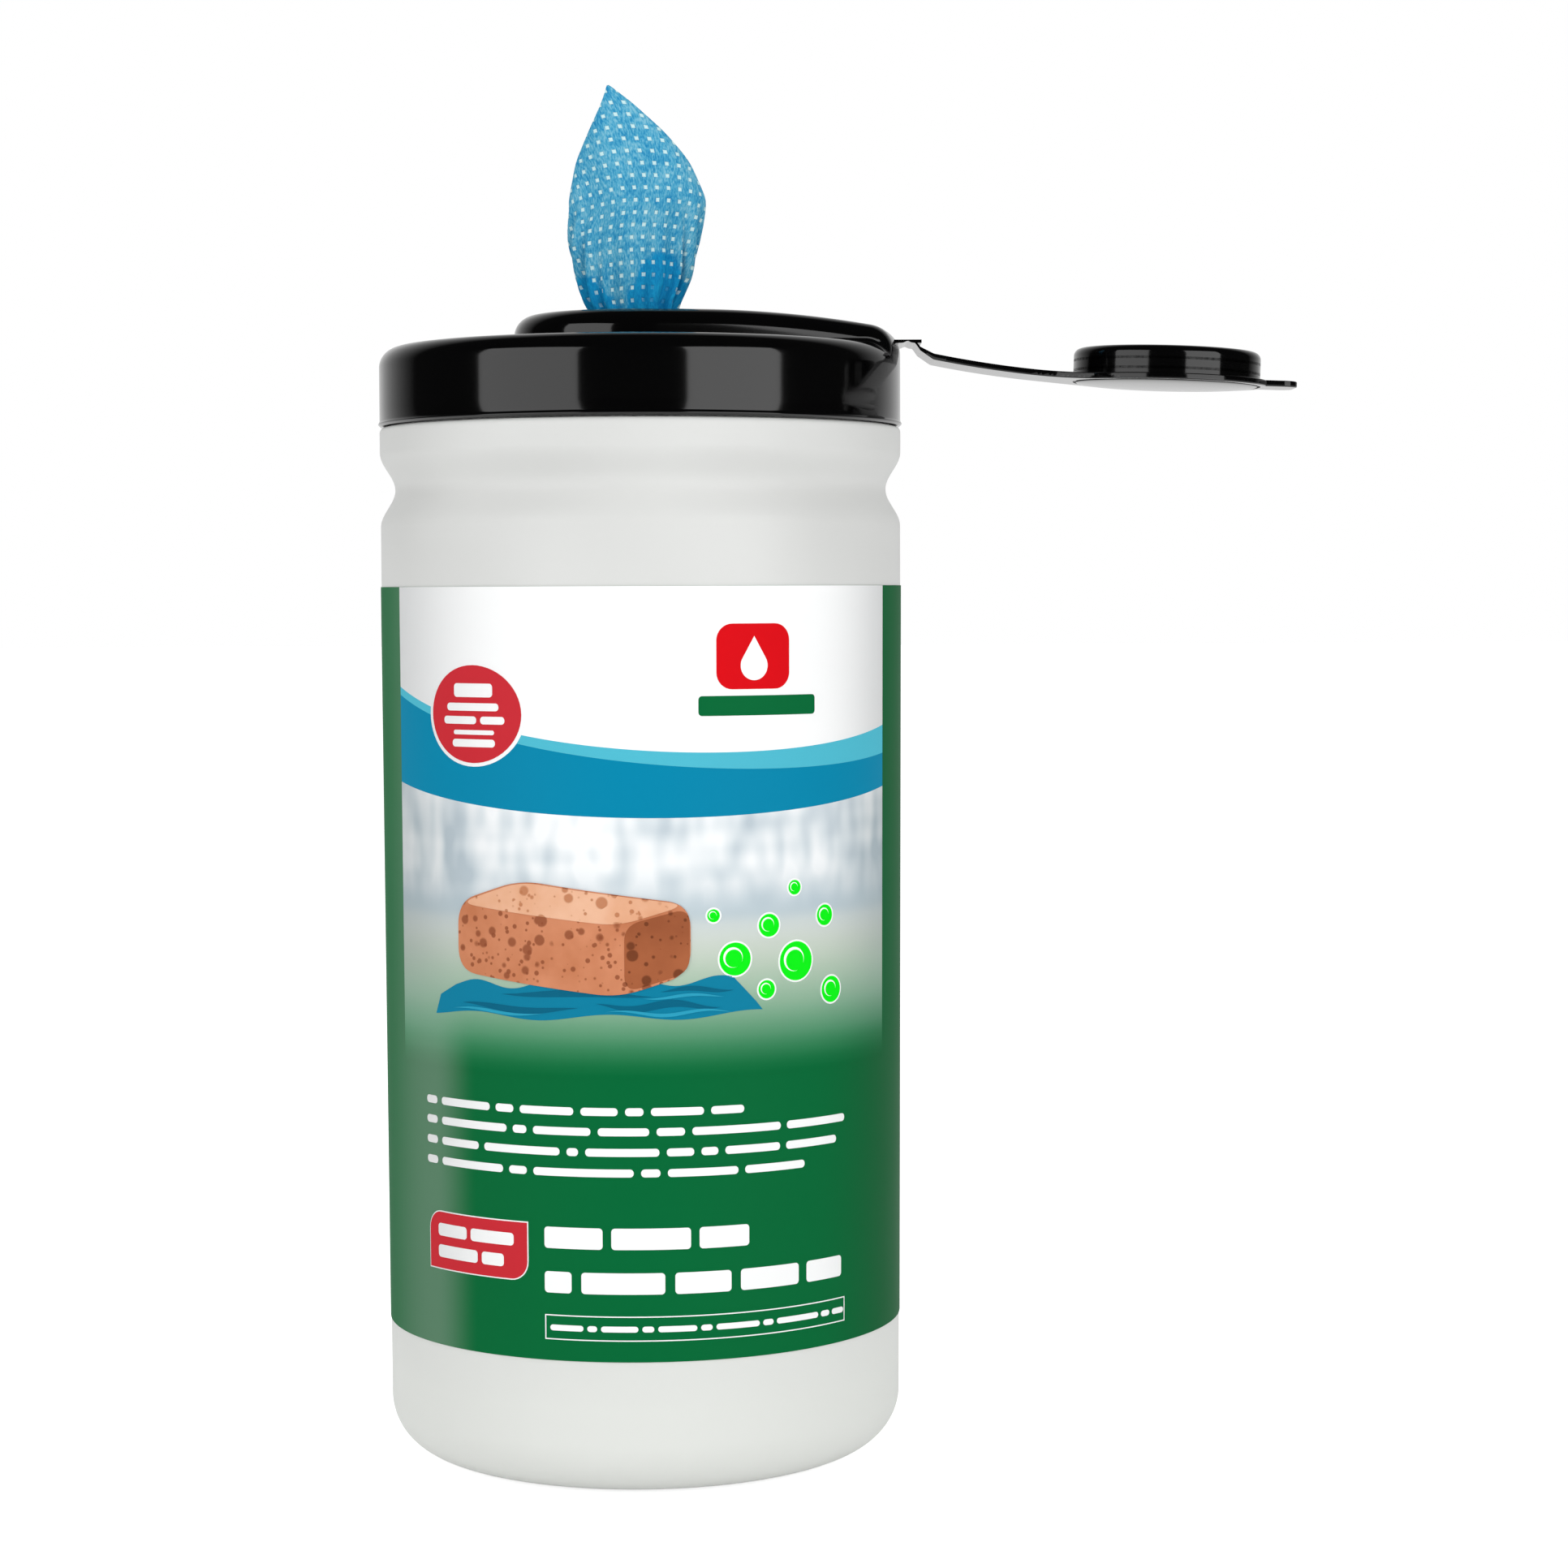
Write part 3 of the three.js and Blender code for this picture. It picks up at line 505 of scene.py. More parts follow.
def body_profile():
    inner_corner = CORNER_R - WALL
    corner_x = FOOT_R - CORNER_R
    neck_in = NECK_R - WALL
    return [
        (0, 0), (34, 0), (34.7, 0.25), (35.5, 0.75), (36.3, 0.8), (39.8, 0.8), (40.6, 0.7),
        (41.4, 0.2), (42.2, 0),
        *arc(corner_x, CORNER_R, CORNER_R, -90, 0, 28),
        (wall_radius(60), 60), (wall_radius(120), 120), (BODY_R, LABEL_TOP_Z),
        *grip(0),
        *arc(SHOULDER_R - LEDGE_EDGE_R, LEDGE_Z - LEDGE_EDGE_R, LEDGE_EDGE_R, 0, 90, 8),
        (NECK_R + 0.4, LEDGE_Z), (NECK_R, LEDGE_Z + 0.4), (NECK_R, BEAD_Z - 1.4),
        *arc(NECK_R - 0.1, BEAD_Z, 0.7, -50, 50, 8), (NECK_R, BEAD_Z + 1.4),
        *arc(NECK_R - WALL / 2, NECK_TOP_Z - WALL / 2, WALL / 2, 0, 180, 10),
        (neck_in, LEDGE_Z - WALL),
        *reversed(grip(WALL, 24)),
        (BODY_R - WALL, LABEL_TOP_Z), (wall_radius(100) - WALL, 100),
        *arc(corner_x, CORNER_R, inner_corner, 0, -90, 16),
        (0, WALL),
    ]


def body_look():
    """White polyethylene: pale warm grey, satin, with a fine blown skin, and painted light that
    makes the lowest part of the wall paler.
    """
    made, tree, shader = plain_material("white_plastic", colour("d6d8d4"), 0.45, IOR=1.5,
                                        Specular_IOR_Level=0.3)
    drift = made_uneven(tree, shader, 0.00012, 0.000012, 0.42, 0.12, 22.0, 700.0)
    tint = ramp(tree, drift, [(0.3, "d2d3d1"), (0.7, "dadbd9")])
    # Painted light: the wall is painted paler towards its foot.
    base = mapped(tree, parts_of(tree, object_place(tree))["Z"], *PAINTED_LIGHT_AT_FOOT)
    tint = mixed_in(tree, base, tint, colour("dfe1dd"))
    paint(tree, shader, tint)
    return made


finished(spun(body_profile(), 224), "canister_shell", "canister", body_look(),
         ["canister_body"])

# %% [markdown]
# The label is a printed film wrapped once round. Its sleeve is spun like the body. Every printed
# shape on it is a very thin skin of its own: a flat outline is drawn in label coordinates, along
# the wrap and up, cut across every two millimetres, given its thickness, and only then bent round
# the sleeve. Thin geometry keeps the edges crisp at any distance, where a painted mask would blur.

# %% Label sleeve and the wrapping of flat shapes
FILM = 0.15
FILM_GAP = 0.03
PRINT = 0.04
LAYER = 0.06
WRAP_R = 59.6
CUT_STEP = 2.0
PANEL_LEFT, PANEL_RIGHT, PANEL_LOW = -62.0, 66.5, 93.0
SLEEVE_STEPS = 224


def along(angle):
    """Distance along the wrap, in millimetres, of an angle in degrees from the front."""
    return math.radians(angle) * WRAP_R


def wrapped_point(s, z, lift):
    """Where a point of the flat label lies once it is wrapped round the body."""
    a = s / WRAP_R
    r = wall_radius(z) + FILM_GAP + FILM + lift
    return Vector((r * math.sin(a), -r * math.cos(a), z)) * MM


def stepped(start, end, step):
    """Places a step apart, from start on and short of end."""
    places = []
    while start < end:
        places.append(start)
        start += step
    return places


def cut_across(bm, places, near):
    """Cuts a mesh by upright planes at places along X, so that it can bend between the cuts."""
    for x in places:
        bmesh.ops.bisect_plane(bm, geom=bm.verts[:] + bm.edges[:] + bm.faces[:], dist=near,
                               plane_co=(x, 0, 0), plane_no=(1, 0, 0))


def printed(name, outlines, layer, look, replaces=(), hole=None):
    """A printed shape. Outlines are lists of (along, up) points; a hole is bridged to the first."""
    bm = bmesh.new()
    if hole:
        loops = []
        for loop in (outlines[0], hole):
            verts = [bm.verts.new((s, 0, z)) for s, z in loop]
            loops += [bm.edges.new((a, b)) for a, b in zip(verts, verts[1:] + verts[:1])]
        bmesh.ops.bridge_loops(bm, edges=loops)
    else:
        for outline in outlines:
            bm.faces.new([bm.verts.new((s, 0, z)) for s, z in outline])
    reach = [s for outline in outlines for s, _ in outline]
    cut_across(bm, stepped(math.ceil(min(reach) / CUT_STEP) * CUT_STEP, max(reach), CUT_STEP), 1e-5)
    bmesh.ops.recalc_face_normals(bm, faces=bm.faces)
    outer = set(extruded(bm))
    low = FILM_GAP + layer * LAYER
    for vert in bm.verts:
        vert.co = wrapped_point(vert.co.x, vert.co.z, low + (PRINT if vert in outer else 0))
    bmesh.ops.recalc_face_normals(bm, faces=bm.faces)
    return finished(bm, name, "canister", look, replaces)


def round_the_wrap_group():
    """Masks by the angle round the canister, for painted light: a painted sheen at the left,
    painted shade at both panel edges and painted shade at the right.
    """
    group = new_group("round_the_wrap", (), ("Sheen", "Edges", "Right"))
    place = parts_of(group, object_place(group))
    angle = maths(group, "ARCTAN2", place["X"], times(group, place["Y"], -1.0))

    def rise(start, end):
        return mapped(group, angle, math.radians(start), math.radians(end), kind="SMOOTHSTEP")

    add_node(group, "NodeGroupOutput", {
        "Sheen": times(group, rise(*SHEEN_LEFT), rise(*SHEEN_RIGHT)),
        "Edges": maths(group, "ADD", rise(*EDGE_LEFT), rise(*EDGE_RIGHT)),
        "Right": times(group, rise(*EDGE_RIGHT), rise(*RIGHT_END))})
    return group


# Where the painted light lies round the wrap, in degrees: a painted sheen on the left, painted
# shade at the panel's edges and towards the right. Then the strengths of the painted sheen and
# right shade, and the colours of all three.
SHEEN_LEFT, SHEEN_RIGHT = (-78, -50), (-36, -49)
EDGE_LEFT, EDGE_RIGHT, RIGHT_END = (-24, -66), (40, 70), (140, 90)
SHEEN, RIGHT_SHADE = 0.1, 0.32
PAINTED_SHEEN_TONE, PAINTED_EDGE_SHADE, PAINTED_RIGHT_SHADE = (1, 1, 1, 1), colour("8c8f90"), colour("00381a")
FILM_SKIN = 0.00005, 0.000004, 0.55, 0.1, 26.0, 1500.0
INK_DRIFT = 0.02
ROUND_THE_WRAP = round_the_wrap_group()


def toned(tree, shade, tones):
    """Lays painted light and shade over a colour, each by one of the masks round the wrap and a
    share.
    """
    masks = add_node(tree, "ShaderNodeGroup", node_tree=ROUND_THE_WRAP).outputs
    for mask, share, tone in tones:
        shade = mixed_in(tree, times(tree, masks[mask], share), shade, tone)
    return shade


def print_material(name, code):
    """Ink under a dull varnish, which mirrors little."""
    return plain_material(name, colour(code), 0.55, IOR=1.14)


def film_look(name, code, sheen=0.0, edges=0.0, right=0.0):
    """One flat ink, with painted light over it. The sheen is a painted highlight, an upright paler
    streak at the left; the panel's edges get painted shade, a little greyer, and the far right
    painted shade, darker."""
    made, tree, shader = print_material(name, code)
    drift = made_uneven(tree, shader, *FILM_SKIN)
    drift = mapped(tree, drift, 0.0, 1.0, 1 - INK_DRIFT, 1 + INK_DRIFT)
    shade = add_node(tree, "ShaderNodeVectorMath", {0: colour(code)[:3], "Scale": drift},
                     operation="SCALE").outputs[0]
    shade = toned(tree, shade, [("Sheen", sheen, PAINTED_SHEEN_TONE), ("Edges", edges, PAINTED_EDGE_SHADE),
                                ("Right", right, PAINTED_RIGHT_SHADE)])
    paint(tree, shader, shade)
    return made


# The green gets the painted sheen on its left and painted shade on its right.
GREEN = film_look("print_green", "006635", SHEEN, right=RIGHT_SHADE)
# The white panel is painted greyer towards both of its sides: painted shade.
WHITE = film_look("print_white", "f8f9f9", edges=0.42)
LIGHT_BLUE = film_look("print_light_blue", "4fb8cd")
TEAL = film_look("print_teal", "0084a9")
RED = film_look("print_red", "c72c36")
BRIGHT_RED = film_look("print_bright_red", "d70613")
BRIGHT_GREEN = film_look("print_bright_green", "08ef16")

sleeve_low, sleeve_top = wall_radius(LABEL_LOW_Z), wall_radius(LABEL_TOP_Z)
sleeve_profile = [
    (sleeve_low + FILM_GAP, LABEL_LOW_Z), (sleeve_low + FILM_GAP + FILM, LABEL_LOW_Z),
    (sleeve_top + FILM_GAP + FILM, LABEL_TOP_Z), (sleeve_top + FILM_GAP, LABEL_TOP_Z),
]
finished(spun(sleeve_profile, SLEEVE_STEPS), "label_film", "canister", GREEN,
         ["label_sleeve"])

# %% [markdown]
# The front panel has three parts: white at the top, two sweeping bands, and a picture that fades
# into the green. The bands' edges are smooth curves through three heights. The picture's ground is
# one skin whose colour runs down a ramp, with soft upright patches like an out-of-focus room.

# %% Panel, bands and picture ground
LIGHT_EDGE = (177.3, 164.2, 168.2)
DARK_EDGE = (175.5, 161.4, 161.9)
FOOT_EDGE = (156.0, 149.6, 154.4)


def sweep(heights):
    """A smooth line across the panel through its heights at the left, the front and the right."""
    left, middle, right = heights
    start, end = along(PANEL_LEFT), along(PANEL_RIGHT)
    bend = ((start + end) / 2, 2 * middle - (left + right) / 2)
    return curve((start, left), bend, (end, right), 64)


def band(lower, upper):
    """The outline between two lines across the panel."""
    return [*lower, *reversed(upper)]


def level(z):
    """A level line across the panel."""
    return [(s, z) for s, _ in sweep(FOOT_EDGE)]


def picture_look():
    """An out-of-focus room: pale blocks, a worktop's far edge, then a fade into green."""
    made, tree, shader = print_material("print_picture", "c6ced4")
    made_uneven(tree, shader, *FILM_SKIN)
    place = object_place(tree)
    height = parts_of(tree, place)["Z"]
    up = mapped(tree, height, PANEL_LOW * MM, PICTURE_TOP * MM)
    ground = ramp(tree, up, GROUND, "B_SPLINE")
    blurred = 0.0
    for scale, share in ROOM_BLUR:
        stretched = add_node(tree, "ShaderNodeMapping", {"Vector": place, "Scale": scale})
        blurred = maths(tree, "MULTIPLY_ADD", noise(tree, stretched.outputs[0], 1.0, 0.0), share,
                        blurred)
    room = ramp(tree, blurred, ROOM)
    above = mapped(tree, height, ROOM_FROM * MM, ROOM_TO * MM, 0.0, 0.85, "SMOOTHSTEP")
    shade = mixed_in(tree, above, ground, room)
    # The picture's foot takes the green's painted sheen and painted right shade, and its upper part
    # painted shade at the panel's edges.
    foot = mapped(tree, up, 0.36, 0.08)
    head = mapped(tree, up, 0.1, 0.4, 0.0, 0.45)
    shade = toned(tree, shade, [("Sheen", times(tree, foot, SHEEN), PAINTED_SHEEN_TONE),
                                ("Right", times(tree, foot, RIGHT_SHADE), PAINTED_RIGHT_SHADE),
                                ("Edges", head, colour("7d8a8c"))])
    paint(tree, shader, shade)
    return made


PICTURE_TOP = 157.0
ROOM_FROM, ROOM_TO = 127.0, 140.0
GROUND = [(0.0, "006635"), (0.02, "006635"), (0.07, "1c7445"), (0.14, "4b8f68"), (0.24, "86ae93"),
          (0.36, "b3c6b3"), (0.45, "cad2c8"), (0.52, "cdd5d4"), (0.56, "b4c4cc"), (0.62, "bccad1"),
          (0.75, "c9d1d6"), (1.0, "e4e8ec")]
ROOM_BLUR = [((110, 110, 46), 0.5), ((290, 290, 120), 0.3), ((36, 36, 240), 0.2)]
ROOM = [(0.36, "b6c4cd"), (0.49, "dbe3e7"), (0.62, "f8fafb")]

printed("panel_white", [band(sweep(LIGHT_EDGE), level(LABEL_TOP_Z - 0.02))], 0, WHITE,
        ["label_panel"])
printed("band_light", [band(sweep(DARK_EDGE), sweep(LIGHT_EDGE))], 0, LIGHT_BLUE,
        ["label_light_wave"])
printed("band_dark", [band(sweep(FOOT_EDGE), sweep(DARK_EDGE))], 0, TEAL,
        ["label_dark_wave"])
printed("picture_ground", [band(level(PANEL_LOW), sweep(FOOT_EDGE))], 0, picture_look(),
        ["label_picture"])

# %% [markdown]
# Small round-cornered bars stand in for the lines of print, because the label carries no lettering.
# A row of bars has the rhythm of words. The badge, the tag and the emblem are skins in two or three
# layers, each a little further out than the last: the ink and the white marks on it, and a pale rim
# under the badge and the tag.

# %% Bars, badge, tag and emblem


def rounded_bar(left, right, low, high, radius=None, turn=5):
    """A bar with round ends, or with a given corner radius."""
    r = min((high - low) / 2, (right - left) / 2) if radius is None else radius
    corners = [(right - r, low + r, -90), (right - r, high - r, 0), (left + r, high - r, 90),
               (left + r, low + r, 180)]
    return [p for x, z, a in corners for p in arc(x, z, r, a, a + 90, turn)]


def circle(s, z, radius, turns=40, stretch=1.0):
    """A round outline, or an oval one that is stretched along the wrap."""
    ring = arc(0, 0, radius, 0, 360 * (turns - 1) / turns, turns - 1)
    return [(s + x * stretch, z + y) for x, y in ring]


def word_line(left, z, height, widths, gap):
    """Outlines of bars in a row, each as wide as a word."""
    outlines = []
    s = left
    for width in widths:
        outlines.append(rounded_bar(s, s + width, z, z + height, min(0.8, height / 2)))
        s += width + gap
    return outlines


BADGE_S, BADGE_Z, BADGE_R, BADGE_RIM, BADGE_STRETCH = along(-35.7), 171.8, 10.7, 0.8, 1.18
printed("badge_rim", [circle(BADGE_S, BADGE_Z, BADGE_R + BADGE_RIM, 56, BADGE_STRETCH)], 1, WHITE)
printed("badge", [circle(BADGE_S, BADGE_Z, BADGE_R, 56, BADGE_STRETCH)], 2, RED,
        ["label_badge"])
badge_lines = [
    *word_line(BADGE_S - 5.4, BADGE_Z + 3.7, 3.0, [10.8], 1),
    *word_line(BADGE_S - 7.6, BADGE_Z + 0.7, 1.7, [14.6], 1),
    *word_line(BADGE_S - 8.6, BADGE_Z - 2.2, 1.7, [9.6, 6.4], 1.1),
    *word_line(BADGE_S - 5.6, BADGE_Z - 4.5, 1.0, [11.4], 1),
    *word_line(BADGE_S - 6.0, BADGE_Z - 7.2, 1.7, [12.0], 1),
]
printed("badge_lines", badge_lines, 3, WHITE)

EMBLEM_S = along(26.4)
printed("emblem", [rounded_bar(EMBLEM_S - 9, EMBLEM_S + 8.4, 177.2, 191.4, 3.6, 8)], 1,
        BRIGHT_RED, ["label_emblem"])
emblem_drop = [*arc(EMBLEM_S - 0.3, 182.3, 3.2, -210, 30, 30), (EMBLEM_S - 0.3, 188.7)]
printed("emblem_drop", [emblem_drop], 2, WHITE)
printed("emblem_word", word_line(along(13.9), 171.5, 4.3, [28.4], 1), 1, GREEN)

TAG = (along(-51.2), along(-23.4), 48.2, 60.8)


def tag_outline(grow):
    """The tag: two corners are round, upper left and lower right, and two are square."""
    left, right, low, high = TAG[0] - grow, TAG[1] + grow, TAG[2] - grow, TAG[3] + grow
    r = 4 + grow
    return [(left, low), *arc(right - r, low + r, r, -90, 0, 8), (right, high),
            *arc(left + r, high - r, r, 90, 180, 8)]


printed("tag_rim", [tag_outline(0.28)], 0, WHITE)
printed("tag", [tag_outline(0)], 1, RED, ["label_tag"])
printed("tag_lines", [*word_line(TAG[0] + 3.2, 55.5, 2.8, [9.4, 11.8], 1.2),
        *word_line(TAG[0] + 3.2, 50.7, 2.8, [12.6, 6.0], 1.2)], 2, WHITE)

# %% [markdown]
# The lower half of the label is four fine lines of print, a title in two lines, and a small line in
# a thin outlined box. Each is a row of bars with the lengths of words, set from the same left edge.
# The box is a ring: an outer and an inner loop of edges, bridged.

# %% Lines of print
TEXT_LEFT = along(-52)
TEXT_LINES = [
    (84.9, [4.0, 14.8, 4.6, 12.6, 8.2, 4.0, 11.6, 7.6]),
    (80.5, [4.0, 19.2, 3.4, 13.2, 11.2, 6.2, 20.8, 17.2]),
    (76.0, [4.0, 11.6, 18.8, 2.6, 16.2, 6.0, 3.8, 13.2, 14.6]),
    (71.5, [4.0, 18.2, 4.4, 22.6, 4.2, 15.8, 15.2]),
]
text_outlines = [bar for z, widths in TEXT_LINES
                 for bar in word_line(TEXT_LEFT, z, 1.75, widths, 1.6)]
printed("text_lines", text_outlines, 0, WHITE)

TITLE_LEFT = along(-19.4)
TITLE_LINES = [(55.6, [13.2, 17.4, 11.4], 1.9), (45.8, [6.2, 18.4, 12.6, 14.6, 10.8], 2.2)]
for i, (z, widths, gap) in enumerate(TITLE_LINES, 1):
    printed(f"title_line_{i}", word_line(TITLE_LEFT, z, 4.7, widths, gap), 0, WHITE,
            [f"label_bar_{i}"])

FRAME_RIGHT = along(50.4)
box_outer = box(TITLE_LEFT, FRAME_RIGHT, 35.5, 41.0)
box_inner = box(TITLE_LEFT + 0.25, FRAME_RIGHT - 0.25, 35.75, 40.75)
printed("outlined_box", [box_outer], 0, WHITE, hole=box_inner)
printed("box_line", word_line(TITLE_LEFT + 1.2, 37.5, 1.3, [7.6, 2.2, 8.2, 2.6, 8.6, 2.6, 10.2, 2.6,
        11.4, 2.6, 3.8], 0.85), 0, WHITE)

# %% [markdown]
# The picture's own motif is a plain design in the label's colours: a clay-red sponge that rests on
# a rumpled blue cloth, with bright bubbles beside it. The sponge is a box seen from one corner, in
# three flat skins, and its pores are cells of a Voronoi texture. The cloth is a wavy outline with
# darker hollows and paler crests laid over it.

# %% Picture motif


def sponge_look(name, light, dark, pore):
    """Foam: a mottled clay colour with round pores of many sizes."""
    made, tree, shader = print_material(name, light)
    place = object_place(tree)
    foam = ramp(tree, noise(tree, place, 110.0, 3.0), [(0.3, dark), (0.7, light)])
    for scale, widest in PORES:
        cells = add_node(tree, "ShaderNodeTexVoronoi", {"Vector": place, "Scale": scale}).outputs
        random = add_node(tree, "ShaderNodeSeparateColor", {"Color": cells["Color"]}).outputs["Red"]
        depth = maths(tree, "SUBTRACT", times(tree, random, widest), cells["Distance"])
        foam = mixed_in(tree, mapped(tree, depth, 0.0, 0.1, 0.0, 0.85), foam, colour(pore))
    paint(tree, shader, foam)
    return made


def softened(corners, radius=1.6, steps=5):
    """An outline whose corners are cut by short curves."""
    points = []
    for i, corner in enumerate(corners):
        here = Vector(corner)
        before = here.lerp(Vector(corners[i - 1]), radius / math.dist(corner, corners[i - 1]))
        following = corners[(i + 1) % len(corners)]
        after = here.lerp(Vector(following), radius / math.dist(corner, following))
        points += curve(before, here, after, steps)
    return points


def leaf(points, widest):
    """A crease: a thin shape along a line of points, pointed at both ends."""
    upper, lower = [], []
    for i, (s, z) in enumerate(points):
        half = widest / 2 * math.sin(math.pi * (i + 0.02) / (len(points) - 0.96))
        upper.append((s, z + half))
        lower.append((s, z - half))
    return upper + lower[::-1]


def wavy_line(left, right, z, rise, waves, steps=26, tilt=0.0):
    return [(left + (right - left) * t, z + tilt * t + rise * math.sin(waves * math.pi * t + z))
            for t in (i / steps for i in range(steps + 1))]


PORES = (300.0, 0.46), (620.0, 0.42)
CLAY = sponge_look("print_clay", "d38c68", "c07752", "8d4c31")
CLAY_LIGHT = sponge_look("print_clay_light", "ebbb9c", "dfa480", "b97650")
CLAY_DARK = sponge_look("print_clay_dark", "a9623f", "965435", "6a3720")
CLOTH = film_look("print_cloth", "0a7d9e")
CLOTH_DARK = film_look("print_cloth_dark", "056280")
CLOTH_LIGHT = film_look("print_cloth_light", "2b9cbb")

cloth_top = wavy_line(-43, 22, 112.6, 0.9, 7, 60, 1.8)
cloth_low = wavy_line(-50, 29, 105.8, 0.7, 5, 60, 0.9)
printed("cloth", [[*cloth_low, (27.4, 109.2), *cloth_top[::-1], (-48.2, 109.6)]], 1, CLOTH)
HOLLOWS = [(-41, -12, 107.9, 0.5, 2, 1.5), (-8, 19, 108.8, 0.6, 3, 1.7),
           (-30, 4, 111.2, 0.4, 2, 1.6), (6, 22, 112.2, 0.4, 2, 1.1)]
CRESTS = [(-44, -20, 106.9, 0.4, 2, 0.7), (-6, 22, 107.3, 0.5, 3, 0.8), (2, 20, 110.8, 0.4, 2, 0.7)]
for name, creases, layer, look in (("cloth_hollows", HOLLOWS, 2, CLOTH_DARK),
                                   ("cloth_crests", CRESTS, 3, CLOTH_LIGHT)):
    printed(name, [leaf(wavy_line(*line), widest) for *line, widest in creases], layer, look)

FRONT_LOW, FRONT_TOP = 112.0, 130.5
whole_sponge = softened([(-42, FRONT_LOW + 3.4), (-3, FRONT_LOW - 1.2), (12.5, FRONT_LOW + 3.8),
                         (12.5, FRONT_TOP + 0.4), (-25, FRONT_TOP + 5.4), (-42, FRONT_TOP)], 5.2, 8)
printed("sponge_front", [whole_sponge], 4, CLAY)
printed("sponge_end", [softened([(-1.8, FRONT_LOW - 0.2), (12.3, FRONT_LOW + 4.1),
        (12.3, FRONT_TOP - 0.4), (-1.8, FRONT_TOP - 4.1)], 3.6, 8)], 5, CLAY_DARK)
printed("sponge_top", [softened([(-41.2, FRONT_TOP - 0.2), (-3.2, FRONT_TOP - 4.2),
        (11.9, FRONT_TOP + 0.3), (-25, FRONT_TOP + 5.1)], 4.6, 8)], 6, CLAY_LIGHT)

BUBBLES = [(22.5, 118.6, 3.6), (30.6, 125.6, 2.5), (37.6, 117.4, 4.3), (30.0, 111.6, 2.0),
           (45.8, 127.0, 2.3), (37.2, 133.6, 1.6), (47.8, 110.4, 2.9), (17.6, 128.2, 1.4)]
printed("bubble_rims", [circle(s, z, r + 0.4) for s, z, r in BUBBLES], 1, WHITE)
printed("bubbles", [circle(s, z, r) for s, z, r in BUBBLES], 2, BRIGHT_GREEN)
inner_rims = [circle(s - 0.15 * r, z + 0.1 * r, 0.62 * r) for s, z, r in BUBBLES]
inner_discs = [circle(s - 0.1 * r, z + 0.04 * r, 0.54 * r) for s, z, r in BUBBLES]
printed("bubble_rings", inner_rims, 3, WHITE)
printed("bubble_cores", inner_discs, 4, BRIGHT_GREEN)

# %% [markdown]
# At the back the film's two ends overlap, with the outer end glued down on the inner.

# %% Label overlap
SEAM_WIDTH = 7.0
back = along(180)
seam_outline = box(back - SEAM_WIDTH, back, LABEL_LOW_Z + 0.1, LABEL_TOP_Z - 0.1)
printed("label_overlap", [seam_outline], 0, GREEN)

# %% [markdown]
# The lid is one glossy moulding, and its reflections show every flaw, so its faces must follow its
# form. The first ring of points lies round the well's floor, each point facing its own place on
# the platform's outline. The ring is extruded up the well, round its rim, across the platform and
# over its rounded edge, then over the foot fillet, the flat top, the shoulder and the skirt, and in
# along the underside, until it closes on itself. It keeps its count, so the mesh is long smooth
# quads all the way.

# %% Lid shell
LID_R, LID_LOW_Z, LID_TOP_Z = 60.0, 236.2, 254.2
LID_LIP, LID_WALL, LID_EDGE_R = 0.3, 1.6, 4.5
LID_UNDER_Z, SHOULDER_START = LID_TOP_Z - LID_WALL, LID_R - LID_EDGE_R
SKIRT_LEAD = 3.0
PLATFORM_R, PLATFORM_TURN, PLATFORM_CORNER = 29.0, 10.1, 6.0
PLATFORM_TOP_Z, PLATFORM_FALL_X, PLATFORM_FALL = 261.7, 14.0, 3.5
PLATFORM_EDGE_R, FOOT_FILLET = 4.7, 1.3
HINGE_X, HINGE_Z = 61.4, 255.6
PLUG_X, PLUG_R = 1.0, 21.5
WELL_R, WELL_FLOOR_Z = 21.95, 254.0
WELL_RIM, WELL_CORNER, WELL_WALL = 0.7, 0.8, 1.6
FLOOR_RING_R = 16.0


def platform_top(x):
    """Height of the platform's top: level round the well, then falling towards the hinge."""
    reach = LID_R - PLATFORM_EDGE_R - PLATFORM_FALL_X
    return PLATFORM_TOP_Z - PLATFORM_FALL * (max(x - PLATFORM_FALL_X, 0) / reach) ** 2


def evenly(line, count):
    """The points that divide a line into equal steps, both ends included."""
    lengths = [0.0]
    for a, b in zip(line, line[1:]):
        lengths.append(lengths[-1] + math.dist(a, b))
    points, k = [], 0
    for i in range(count + 1):
        want = lengths[-1] * i / count
        while k < len(lengths) - 2 and lengths[k + 1] < want:
            k += 1
        t = (want - lengths[k]) / max(lengths[k + 1] - lengths[k], 1e-9)
        points.append(Vector(line[k]).lerp(Vector(line[k + 1]), t))
    return points


def platform_outline(count):
    """The platform from above: a round end, two sides that close in, and the lid's own rim."""
    lean = math.radians(PLATFORM_TURN)
    side, out = PLATFORM_R - PLATFORM_CORNER, LID_R - PLATFORM_CORNER
    run = math.sqrt(out ** 2 - side ** 2)
    cx = side * math.sin(lean) + run * math.cos(lean)
    cy = side * math.cos(lean) - run * math.sin(lean)
    rim = math.degrees(math.atan2(cy, cx))
    half = [*arc(0, 0, LID_R, 0, rim, 40), *arc(cx, cy, PLATFORM_CORNER, rim, 90 - PLATFORM_TURN,
            60), *arc(0, 0, PLATFORM_R, 90 - PLATFORM_TURN, 180, 200)]
    return evenly([*half, *[(x, -y) for x, y in reversed(half[:-1])]], count)[:-1]


def raised(points, height):
    """Points of a plan at a height, or at the height that a function gives for each of them."""
    return [Vector((p.x, p.y, height(p) if callable(height) else height)) * MM for p in points]


